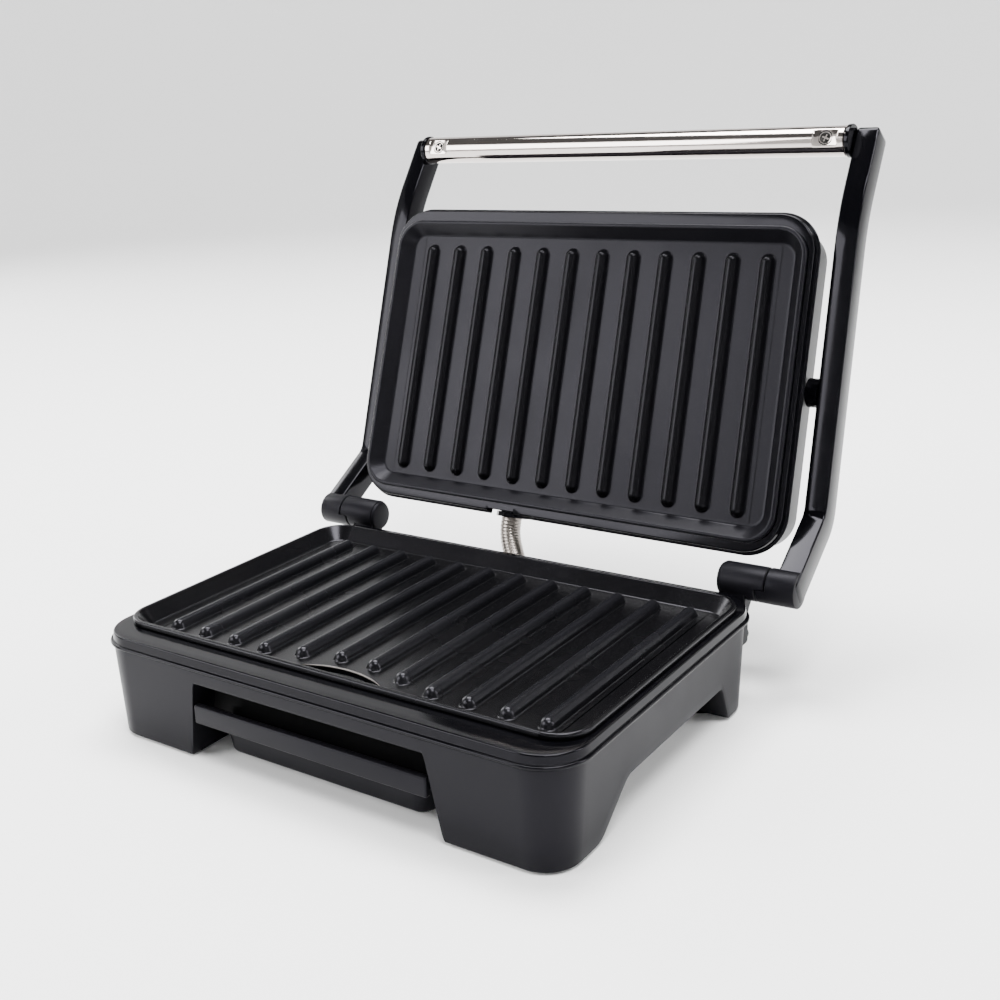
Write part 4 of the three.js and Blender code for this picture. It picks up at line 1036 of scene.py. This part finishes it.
def band_piece(
    name: str, outer: Outline, hole: Outline, space: Space, lift: float, body: str, node: str,
    notch: tuple[float, float, float] | None = None,
) -> bpy.types.Object:
    """A gloss band round a plate.

    Args:
        name: the piece's name.
        outer: its largest outline.
        hole: the outline of its inner edge.
        space: the frame it is given in.
        lift: height of the plate's rim in that frame.
        body: the CAD body it rides on.
        node: the CAD node it replaces.
        notch: (x0, x1, depth) of a notch in its first side.

    Returns:
        The piece: a profile of (distance in, height) carried round the outline.
    """
    top, bottom = -2.8, -8.2
    path = rounded_path(
        [
            (6.0, top), (1.7, top), (1.3, bottom + 1.5), (0.0, bottom + 1.4), (0.0, bottom),
            (6.0, bottom),
        ],
        [0, 0.8, 0.2, 0.7, 0.5, 0], 7
    )
    xs = np.linspace(-104, 104, 27)
    if notch:
        x0, x1, _ = notch
        xs = np.unique(np.concatenate([xs, [x0 - 0.4, x0, x0 + 0.4, x1 - 0.4, x1, x1 + 0.4]]))
    stations = Stations(xs, np.linspace(22, 135, 12), 16)
    outlines = [hole] + [outer.inset(i) for i in path[:, 0]] + [hole]
    rows = stations.rows(outlines, [lift + top, *(lift + path[:, 1]), lift + bottom])
    if notch:
        x0, x1, depth = notch
        inside = (rows[..., 0] > x0 - 0.1) & (rows[..., 0] < x1 + 0.1) & (rows[..., 1] < outer.front + 7)
        rows[..., 1] = np.where(inside, np.maximum(rows[..., 1], outer.front + depth), rows[..., 1])
    skin = Skin(space)
    skin.grid(rows, around=True, along=True)
    return fit(skin.piece(name, 38), GLOSS, body, node)


# ---------------------------------------------------------------- lid


@dataclass
class LidShell:
    """The lid's satin cover and its gloss band, in the lid frame."""

    band: Outline = Outline(127.3, -6.2, 161.0, 21.0)
    mouth: Outline = Outline(125.0, -3.9, 158.7, 18.7)
    seam: float = -8.5
    shoulder: float = -31.0
    back: float = -36.0
    taper: float = 2.5
    chamfer: float = 5.0
    notch: tuple[float, float, float] = (-38.0, -22.0, 3.0)

    def build_cover(self) -> bpy.types.Object:
        """The cover: a tapering wall, a soft shoulder and a slightly crowned back."""
        path = rounded_path(
            [
                (2.2, self.seam - 1.5), (2.2, self.seam), (0.0, self.seam),
                (self.taper, self.shoulder), (self.taper + self.chamfer, self.back),
                (self.taper + 22, self.back - 0.0),
            ],
            [0, 0, 0.5, 5.0, 5.0, 0],
            8,
        )
        stations = Stations(np.linspace(-95, 95, 21), np.linspace(30, 125, 11), 16)
        rows = stations.rows([self.mouth.inset(i) for i in path[:, 0]], list(path[:, 1]))
        skin = Skin(Space.LID)
        skin.tube(rows)
        return fit(skin.piece("lid_cover", 32), SATIN, "lid", "upper_housing")

    def build(self) -> None:
        """Builds the cover and the band."""
        self.build_cover()
        hole = Outline(120.1, 2.9, 150.1, 12.1)
        band_piece("lid_gloss_band", self.band, hole, Space.LID, 0.0, "lid", "upper_bezel", self.notch)


# ---------------------------------------------------------------- arms, hinge and handle


@dataclass
class Arms:
    """The two bent arms with their hinge lugs, and the fixed barrels that they turn against."""

    depth: float = 13.4
    edge: float = 0.9
    lug_radius: float = 8.4
    seam_x: float = 124.6
    half_step: float = 2.3
    tab_start: float = 66.0
    tab_angle: float = 113.0
    barrel_inner: float = 104.6

    def spine(self) -> tuple[Array, Array]:
        """The arm's centre line with rounded knees, and its unit normals."""
        line = rounded_path(LAYOUT.arm_line, [0, 16, 110, 0], 12)
        gaps = np.linalg.norm(np.diff(line, axis=0), axis=1)
        at = np.concatenate([[0], np.cumsum(gaps)])
        stops = np.unique(np.concatenate([at, np.linspace(0, at[-1], 30)]))
        points = np.column_stack([np.interp(stops, at, line[:, k]) for k in (0, 1)])
        tangent = np.gradient(points, stops, axis=0)
        tangent /= np.linalg.norm(tangent, axis=1, keepdims=True)
        return points, np.column_stack([-tangent[:, 1], tangent[:, 0]])

    def arm_rows(self) -> Array:
        """Rings of a rounded rectangle along the spine, closing over each end.

        A ring at distance d from an end is narrowed by r - sqrt(r^2 - (r - d)^2), with r the half
        depth at the hinge and a small radius at the top.
        """
        points, normals = self.spine()
        half = self.depth / 2
        end_dir = (points[-1] - points[-2]) / np.linalg.norm(points[-1] - points[-2])
        start_dir = (points[0] - points[1]) / np.linalg.norm(points[0] - points[1])
        q = np.linspace(0, np.pi / 2, 7)[1:]
        top_r = 3.2
        first = points[0] + start_dir * (half * np.sin(q[::-1]))[:, None]
        last = points[-1] - end_dir * top_r + end_dir * (top_r * np.sin(q))[:, None]
        body_keep = np.linalg.norm(points - points[-1], axis=1) > top_r + 0.2
        anchor = points[-1] - end_dir * top_r
        line = np.vstack([first, points[body_keep], anchor, last])
        line_n = np.vstack(
            [np.repeat(normals[:1], len(first), 0), normals[body_keep], np.repeat(normals[-1:], 1 + len(last), 0)]
        )
        shrink = np.concatenate(
            [half * (1 - np.cos(q[::-1])), np.zeros(body_keep.sum() + 1), top_r * (1 - np.cos(q))]
        )
        shrink = np.minimum(shrink, half - self.edge - 0.05)
        w0, w1 = LAYOUT.arm_inner_x, LAYOUT.arm_inner_x + LAYOUT.arm_width
        rings = []
        for centre, normal, less in zip(line, line_n, shrink):
            h = half - less
            a, b = w0 + min(less, top_r) * 0.25, w1 - min(less, top_r) * 0.7
            loop = rounded_path([(-h, a), (h, a), (h, b), (-h, b)], [self.edge] * 4, 3, closed=True)
            yz = centre + loop[:, :1] * normal
            rings.append(np.column_stack([loop[:, 1], yz]))
        return np.stack(rings)

    def seam(self, angle: Array, fixed: bool) -> Array:
        """X of the stepped seam round the barrel: one half-turn stands ahead of the other."""
        start = self.tab_start + (0 if fixed else self.tab_angle + 2)
        offset = (np.degrees(angle) - start) % 360
        inside = soft_clip(np.minimum(offset, self.tab_angle - offset) * 0.6, -1.0, 1.0, 0.4)
        gap = 0.32
        if fixed:
            return self.seam_x + self.half_step * inside - gap
        return self.seam_x - self.half_step * inside + gap

    def barrel_rows(self, fixed: bool) -> Array:
        """A cylinder round the hinge whose seam end is stepped, with softened rims."""
        y, z = LAYOUT.hinge
        t = np.linspace(0, 2 * np.pi, 180, endpoint=False)
        seam = self.seam(t, fixed)
        far = self.barrel_inner if fixed else LAYOUT.arm_inner_x + LAYOUT.arm_width - 0.6
        sign = 1 if fixed else -1
        rounding = 0.9 if fixed else 0.5
        r = self.lug_radius
        rows = []
        for radius, x in (
            (0.01, np.full_like(t, far)), (r - rounding, np.full_like(t, far)),
            (r - rounding * 0.3, np.full_like(t, far + sign * rounding * 0.3)),
            (r, np.full_like(t, far + sign * rounding)), (r, seam - sign * 1.6), (r, seam - sign * 0.35),
            (r - 0.35, seam), (r - 2.6, seam), (0.01, seam),
        ):
            rows.append(np.column_stack([x, y + radius * np.cos(t), z + radius * np.sin(t)]))
        return np.stack(rows)

    def bracket_rows(self) -> Array:
        """The foot of a fixed barrel, behind the housing's rear wall."""
        y, z = LAYOUT.hinge
        seat = 160.5
        corners = np.array(
            [
                (159.3, 23.5), (166.2, 23.5), (167.2, z - 13), (y + 5.5, z - 5.5), (y, z),
                (162.8, z - 1.5), (162.8, 41.5), (seat, 41.5),
            ]
        )
        return prism_rows(corners, [0.5, 2, 6, 1, 0, 0.5, 0.3, 0.3], (self.barrel_inner, 117.3), 0.6)

    def build(self) -> None:
        """Builds arms, barrels and their mirror images."""
        for side, flip in (("right", lambda rows: rows), ("left", mirrored)):
            arm = Skin()
            arm.tube(flip(self.arm_rows()))
            fit(arm.piece(f"arm_{side}", 30), GLOSS, "arms", f"lid_arm_{side}")
            lug = Skin()
            lug.grid(flip(self.barrel_rows(False)), around=True)
            fit(lug.piece(f"arm_lug_{side}", 30), HINGE, "arms")
            barrel = Skin()
            barrel.grid(flip(self.barrel_rows(True)), around=True)
            barrel.tube(flip(self.bracket_rows()))
            fit(barrel.piece(f"hinge_barrel_{side}", 30), HINGE, "root", f"hinge_barrel_{side}")
            cap = Skin()
            profile = np.array([(-1.3, 0.01), (-1.3, 6.2), (-1.0, 7.1), (-0.3, 7.7), (0.2, 7.8), (0.2, 0.01)])
            centre = (self.barrel_inner - 0.3, *LAYOUT.hinge)
            cap.grid(flip(turned_rows(profile, centre)), around=True)
            fit(cap.piece(f"barrel_cap_{side}", 30), HINGE, "root", f"hinge_barrel_cap_{side}")


@dataclass
class Handle:
    """The chrome tube between the arms, its two sunk flats, cross-head screws and collars."""

    radius: float = 7.7
    end: float = 127.8
    screw_x: float = 118.3
    flat_length: float = 13.0
    flat_depth: float = 1.25
    back_from_end: float = 9.0
    flat_turn: float = 160.5

    @property
    def axis(self) -> Array:
        """(y, z) of the handle's axis, on the line of the arms' front edges."""
        length, angle = LAYOUT.arm_upper
        middle = LAYOUT.step(LAYOUT.arm_line[2], length - self.back_from_end, angle)
        normal = np.array([-math.sin(math.radians(angle)), math.cos(math.radians(angle))])
        return middle + normal * 13.4 / 2

    def tube_rows(self) -> Array:
        """The tube: radius R, pressed in at each screw by an oval flat.

        Inside an oval round the screw the surface is the plane at R - depth; over its edge the
        radius is the smaller of the two, so the flat ends in a rounded step.
        """
        edges = self.screw_x + np.linspace(-9.5, 8.0, 60)
        xs = np.concatenate([-edges[::-1], np.linspace(-105, 105, 43), edges])
        xs = np.unique(np.concatenate([xs, [-self.end + 0.5, self.end - 0.5, -self.end, self.end]]))
        t = np.linspace(0, 2 * np.pi, 96, endpoint=False)
        angle = t[None, :] + 0 * xs[:, None]
        centre = math.radians(self.flat_turn)
        lean = np.cos(angle - centre)
        plane = np.where(lean > 0.3, (self.radius - self.flat_depth) / np.maximum(lean, 0.3), 99.0)
        away = (np.abs(xs) - self.screw_x)[:, None] / (self.flat_length / 2)
        depth_share = np.clip(1 - away**2, 0, 1) ** 0.5
        pressed = self.radius - (self.radius - np.minimum(plane, self.radius)) * depth_share
        radius = np.minimum(pressed, self.radius)
        radius = np.where((self.end - np.abs(xs))[:, None] < 0.1, radius - 0.5, radius)
        y, z = self.axis
        return np.stack([xs[:, None] + 0 * angle, y + radius * np.cos(angle), z + radius * np.sin(angle)], -1)

    def screw_rows(self, side: int) -> Array:
        """A pan-head screw with a cross sunk into it, on the flat.

        Height over the head is a dome, less a cross whose arms are where either of the two
        in-plane distances is under the slot's half width, all inside the cross's reach.
        """
        r = np.concatenate([[0.001], np.linspace(0.25, 2.2, 14), np.linspace(2.4, 3.2, 6)])
        t = np.linspace(0, 2 * np.pi, 96, endpoint=False)
        a, b = r[:, None] * np.cos(t), r[:, None] * np.sin(t)
        dome = 1.15 - 0.5 * (r[:, None] / 3.2) ** 2 - 0.25 * (r[:, None] / 3.2) ** 8
        arm = np.minimum(np.abs(a), np.abs(b))
        reach = np.maximum(np.abs(a), np.abs(b))
        cut = np.clip((0.48 - arm) / 0.12, 0, 1) * np.clip((2.0 - reach) / 0.25, 0, 1)
        height = dome - cut * (0.9 - 0.25 * reach)
        skirt = np.stack([3.2 * np.cos(t), 3.2 * np.sin(t), np.full_like(t, -1.2)], -1)
        local = np.concatenate([np.stack([a, b, height], -1), skirt[None]])
        turn = math.radians(self.flat_turn)
        out = np.array([0, math.cos(turn), math.sin(turn)])
        across = np.array([0, -math.sin(turn), math.cos(turn)])
        seat = self.radius - self.flat_depth - 0.65
        centre = np.array([side * self.screw_x, *self.axis]) + out * seat
        ax = np.array([math.cos(0.4), 0, 0]) + across * math.sin(0.4)
        bx = np.array([-math.sin(0.4), 0, 0]) + across * math.cos(0.4)
        return centre + local[..., :1] * ax + local[..., 1:2] * bx + local[..., 2:] * out

    def on_flat(self, side: int, profile: Array) -> Array:
        """A profile of (radius, height over the seat) turned about a screw's axis."""
        t = np.linspace(0, 2 * np.pi, 48, endpoint=False)
        turn = math.radians(self.flat_turn)
        out = np.array([0, math.cos(turn), math.sin(turn)])
        across = np.array([0, -math.sin(turn), math.cos(turn)])
        seat = self.radius - self.flat_depth - 0.65
        centre = np.array([side * self.screw_x, *self.axis]) + out * seat
        spoke = np.cos(t)[:, None] * np.array([1.0, 0, 0]) + np.sin(t)[:, None] * across
        return centre + profile[:, :1, None] * spoke + profile[:, 1:, None] * out

    def build(self) -> None:
        """Builds the tube, the screws and the collars."""
        tube = Skin()
        tube.tube(self.tube_rows())
        fit(tube.piece("handle_bar", 28), CHROME, "arms", "handle_tube")
        for side, name in ((1, "right"), (-1, "left")):
            head = Skin()
            index = head.grid(self.screw_rows(side), around=True)
            head.cap(index[-1])
            ring = np.array([[3.15, -0.6], [3.15, 0.78], [3.45, 0.86], [3.75, 0.78], [3.75, -0.6]])
            head.grid(self.on_flat(side, ring), around=True, along=True)
            fit(head.piece(f"handle_screw_head_{name}", 40), SCREW, "arms", f"handle_screw_{name}")
            collar = Skin()
            profile = np.array([(0, 0.01), (0, 7.9), (0.3, 8.3), (0.7, 8.4), (2.0, 8.4), (2.3, 8.2), (2.3, 0.01)])
            rows = turned_rows(profile, (self.end + 0.3, *self.axis))
            collar.grid(rows if side > 0 else mirrored(rows), around=True)
            fit(collar.piece(f"handle_collar_{name}", 30), GLOSS, "arms", f"handle_collar_{name}")


# ---------------------------------------------------------------- drip tray


@dataclass
class DripTray:
    """The sliding tray: a tub, the bridge over its front and the pull lip."""

    half: float = 57.0
    front: float = -4.2
    length: float = 110.0
    bottom: float = 2.2
    top: float = 14.0
    wall: float = 1.8
    lip_half: float = 63.5
    lip_bottom: float = 17.6
    lip_height: float = 8.7

    def build(self) -> None:
        """Builds the tray as three closed skins in one piece."""
        outer = Outline(self.half, self.front, self.front + self.length, 8.0)
        path = rounded_path(
            [
                (14.0, self.bottom), (2.0, self.bottom), (0.0, self.top), (self.wall, self.top),
                (self.wall + 2, self.bottom + self.wall), (14.0, self.bottom + self.wall),
            ],
            [0, 2.5, 0.5, 0.5, 2.0, 0],
            5,
        )
        stations = Stations(np.linspace(-40, 40, 9), np.linspace(15, 90, 9), 8)
        skin = Skin()
        skin.tube(stations.rows([outer.inset(i) for i in path[:, 0]], list(path[:, 1])))
        lip_front = self.front - 8.4
        z0, z1 = self.lip_bottom, self.lip_bottom + self.lip_height
        skin.tube(soft_bar((lip_front, lip_front + 3.2, z0, z1), (-self.lip_half, self.lip_half), 0.9))
        skin.tube(soft_bar((lip_front + 1, self.front + 2.8, z0 + 0.6, z0 + 2.0), (-56, 56), 0.3))
        skin.tube(soft_bar((self.front - 0.2, self.front + 2.8, self.top - 2, z0 + 1.4), (-56.9, 56.9), 0.6))
        flange = (self.front + 10, self.front + self.length - 10, self.top - 2.6, self.top - 1)
        for span in ((-60.4, -56.2), (56.2, 60.4)):
            skin.tube(soft_bar(flange, span, 0.3))
        fit(skin.piece("drip_tray_tub", 34), SATIN, "tray", "drip_tray")


# ---------------------------------------------------------------- conduit


@dataclass
class Conduit:
    """The wound steel conduit from the base's rear wall up into the lid, in two halves."""

    radius: float = 5.5
    lid_x: float = -30.0
    lid_depth: float = 15.5
    base_x: float = -15.0
    base_z: float = 30.0
    pitch: float = 1.9
    relief: float = 0.24

    def spine(self) -> Array:
        """Points along the conduit: straight out of each wall, a cubic curve between."""
        wall = 159.2

        def in_lid(y: float) -> Array:
            matrix = LAYOUT.lid_matrix
            return matrix[:, :3] @ np.array([self.lid_x, y, -self.lid_depth]) + matrix[:, 3]

        leave = np.array([self.base_x, wall + 8, self.base_z])
        enter = in_lid(-3.9 - 7)
        down = in_lid(-3.9 - 20) - in_lid(-3.9 - 6)
        t = np.linspace(0, 1, 400)[:, None]
        p1, p2 = leave + np.array([0, 14, 0]), enter + down
        curve = (1 - t) ** 3 * leave + 3 * (1 - t) ** 2 * t * p1 + 3 * (1 - t) * t**2 * p2 + t**3 * enter
        start = np.linspace(leave - np.array([0, 17, 0]), leave, 80, endpoint=False)
        end = np.linspace(enter, in_lid(2.9), 80)[1:]
        return np.vstack([start, curve, end])

    def half_rows(self, first: float, last: float) -> Array:
        """Rings along part of the spine, their radius rising and falling with each turn of wire.

        The radius is R - relief (1 - |cos(pi s / pitch + angle / 2)|), so the ridge climbs one
        pitch in each turn.
        """
        line = self.spine()
        at = np.concatenate([[0], np.cumsum(np.linalg.norm(np.diff(line, axis=0), axis=1))])
        total = at[-1]
        s = np.arange(first * total, last * total, self.pitch / 8)
        s = np.append(s, last * total)
        points = np.column_stack([np.interp(s, at, line[:, k]) for k in range(3)])
        tangent = np.column_stack(
            [np.interp(s, at, np.gradient(line[:, k], at)) for k in range(3)]
        )
        tangent /= np.linalg.norm(tangent, axis=1, keepdims=True)
        side = np.cross(tangent, np.array([1.0, 0, 0]))
        side /= np.linalg.norm(side, axis=1, keepdims=True)
        over = np.cross(tangent, side)
        t = np.linspace(0, 2 * np.pi, 40, endpoint=False)
        wave = np.abs(np.cos(np.pi * s[:, None] / self.pitch + t / 2))
        radius = self.radius - self.relief * (1 - wave)
        ring = side[:, None] * np.cos(t)[None, :, None] + over[:, None] * np.sin(t)[None, :, None]
        return points[:, None] + radius[..., None] * ring

    def build(self) -> None:
        """Builds both halves as meshes fixed in the press frame and logs the two bodies of the joint that each
        spans.
        """
        row = [Space.PRESS.to_row(p[None])[0] for p in self.spine()[[100, 300, 320, 520]]]
        for name, first, last, bodies, start, end in (
            ("conduit_lower_half", 0.0, 0.5, ("root", "arms"), row[0], row[1]),
            ("conduit_upper_half", 0.5, 1.0, ("arms", "lid"), row[2], row[3]),
        ):
            skin = Skin()
            skin.tube(self.half_rows(first, last))
            piece = skin.piece(name, 60)
            dress(piece, STEEL)
            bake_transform(piece)
            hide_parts("spring_conduit")
            LOG.info("%s between %s and %s", name, *bodies)


# ---------------------------------------------------------------- CAD nodes that stay


KEPT: dict[str, Finish] = {
    "base_bottom_cover": SHADE,
    "tray_rail": SHADE,
    "pivot_cap": SATIN,
    "foot_pad": RUBBER,
    "cord_inlet_gland": RUBBER,
    "cover_screw": SCREW,
    "hinge_screw": SCREW,
    "plate_screw": SCREW,
    "heating_element": STEEL,
    "thermal_fuse": STEEL,
    "hinge_pin": STEEL,
    "pivot_pin": STEEL,
    "heat_reflector": SHEET,
    "drain_chute": SHEET,
    "thermostat": CERAMIC,
    "terminal_block": CERAMIC,
    "ferrule": GLOSS,
    "pivot_boss": GLOSS,
    "power_light": RED_LENS,
    "ready_light": GREEN_LENS,
}


def dress_kept() -> None:
    """Gives each CAD node that is still shown the finish that its name asks for."""
    for name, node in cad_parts.items():
        if node.hide_render:
            continue
        finish = next((f for part, f in KEPT.items() if part in name), SATIN)
        dress(node, finish)
        LOG.info("%s kept, %s", name, finish.name)


# ---------------------------------------------------------------- stage


@dataclass
class Studio:
    """Floor, lights and camera."""

    focal: float = 47.81
    shift: tuple[float, float] = (0.0309, -0.1485)
    azimuth: float = 35.82
    elevation: float = 11.23
    roll: float = -3.21
    eye: tuple[float, float, float] = (357.33, -375.28, 283.89)

    def build_floor(self) -> None:
        """A pale floor that turns up all round into a wall, as a photographer's sweep does.

        The profile, a straight floor, a quarter circle and a straight wall, is turned about Z.
        """
        turn = np.linspace(0, np.pi / 2, 13)
        arc = np.column_stack([-1.0 + 1200 * (1 - np.cos(turn)), 2400 + 1200 * np.sin(turn)])
        profile = np.vstack([[(-1.0, 0.5)], arc, [(3200.0, 3600.0)]])
        skin = Skin()
        rows = turned_rows(profile, (0.0, 0.0, 0.0), "z", 72)
        index = skin.grid(rows, around=True)
        skin.cap(index[0])
        floor = skin.piece("floor", 80)
        floor.data.flip_normals()
        material = bpy.data.materials.new("pale floor")
        material.use_nodes = True
        shader = material.node_tree.nodes["Principled BSDF"]
        shader.inputs["Base Color"].default_value = (0.88, 0.88, 0.88, 1)
        shader.inputs["Roughness"].default_value = 0.7
        shader.inputs["Specular IOR Level"].default_value = 0.1
        floor.data.materials.append(material)

    def area(
        self, name: str, place: tuple[float, float, float], aim: tuple[float, float, float],
        size: tuple[float, float], power: float,
    ) -> None:
        """A soft box at `place` in metres that faces `aim`."""
        light = bpy.data.lights.new(name, "AREA")
        light.shape = "RECTANGLE"
        light.size, light.size_y = size
        light.energy = power
        lamp = bpy.data.objects.new(name, light)
        bpy.context.scene.collection.objects.link(lamp)
        lamp.location = place
        lamp.rotation_euler = (Vector(aim) - Vector(place)).to_track_quat("-Z", "Y").to_euler()

    def build_lights(self) -> None:
        """A bright even surround, a long box above and one at each side."""
        world = bpy.data.worlds.new("surround")
        bpy.context.scene.world = world
        world.use_nodes = True
        world.node_tree.nodes["Background"].inputs["Color"].default_value = (1, 1, 1, 1)
        world.node_tree.nodes["Background"].inputs["Strength"].default_value = 0.16
        centre = (0.0, 0.0, 0.12)
        self.area("top box", (-0.2, 0.3, 1.7), centre, (1.3, 0.8), 88)
        self.area("left box", (-1.1, -1.35, 0.85), centre, (1.0, 1.0), 38)
        self.area("side strip", (-1.8, 0.3, 0.9), centre, (0.4, 1.2), 22)
        self.area("right box", (1.7, 0.5, 0.9), centre, (0.35, 1.3), 22)
        self.area("wall wash", (0.9, -0.6, 2.6), (-1.8, 2.6, 1.0), (1.2, 1.2), 150)

    def build_camera(self) -> None:
        """The camera: azimuth from -Y towards +X, looking down by the elevation, then rolled."""
        a, e, r = (math.radians(v) for v in (self.azimuth, self.elevation, self.roll))
        forward = Vector((-math.sin(a) * math.cos(e), math.cos(a) * math.cos(e), -math.sin(e)))
        right = Vector((math.cos(a), math.sin(a), 0))
        up = right.cross(forward)
        rolled_right = right * math.cos(r) + up * math.sin(r)
        rolled_up = up * math.cos(r) - right * math.sin(r)
        camera = bpy.data.cameras.new("camera")
        camera.sensor_width = 36
        camera.lens = self.focal
        camera.shift_x, camera.shift_y = self.shift
        holder = bpy.data.objects.new("camera", camera)
        bpy.context.scene.collection.objects.link(holder)
        spin = Matrix((rolled_right, rolled_up, -forward)).transposed().to_4x4()
        place = Space.PRESS.to_row(np.array([self.eye]))[0]
        holder.matrix_world = Matrix.Translation(Vector(place)) @ spin
        bpy.context.scene.camera = holder

    def build(self) -> None:
        """Builds the whole stage."""
        self.build_floor()
        self.build_lights()
        self.build_camera()


def main() -> None:
    """Builds every piece."""
    logging.basicConfig(level=logging.INFO, format="%(message)s")
    BaseBody().build()
    GrillPlate(
        "lower_plate", "lower_grill_plate", "root", Space.PRESS, LAYOUT.rim_height, (13.5, 141.5),
        LOWER_COAT, setback=4.5, has_slot=True,
    ).build()
    GrillPlate("upper_plate", "upper_grill_plate", "lid", Space.LID, 0.0, (11.5, 139.5), UPPER_COAT_WITH_PAINTED_LIGHT).build()
    LidShell().build()
    Arms().build()
    Handle().build()
    DripTray().build()
    Conduit().build()
    dress_kept()
    Studio().build()


if __name__ == "__main__":
    main()
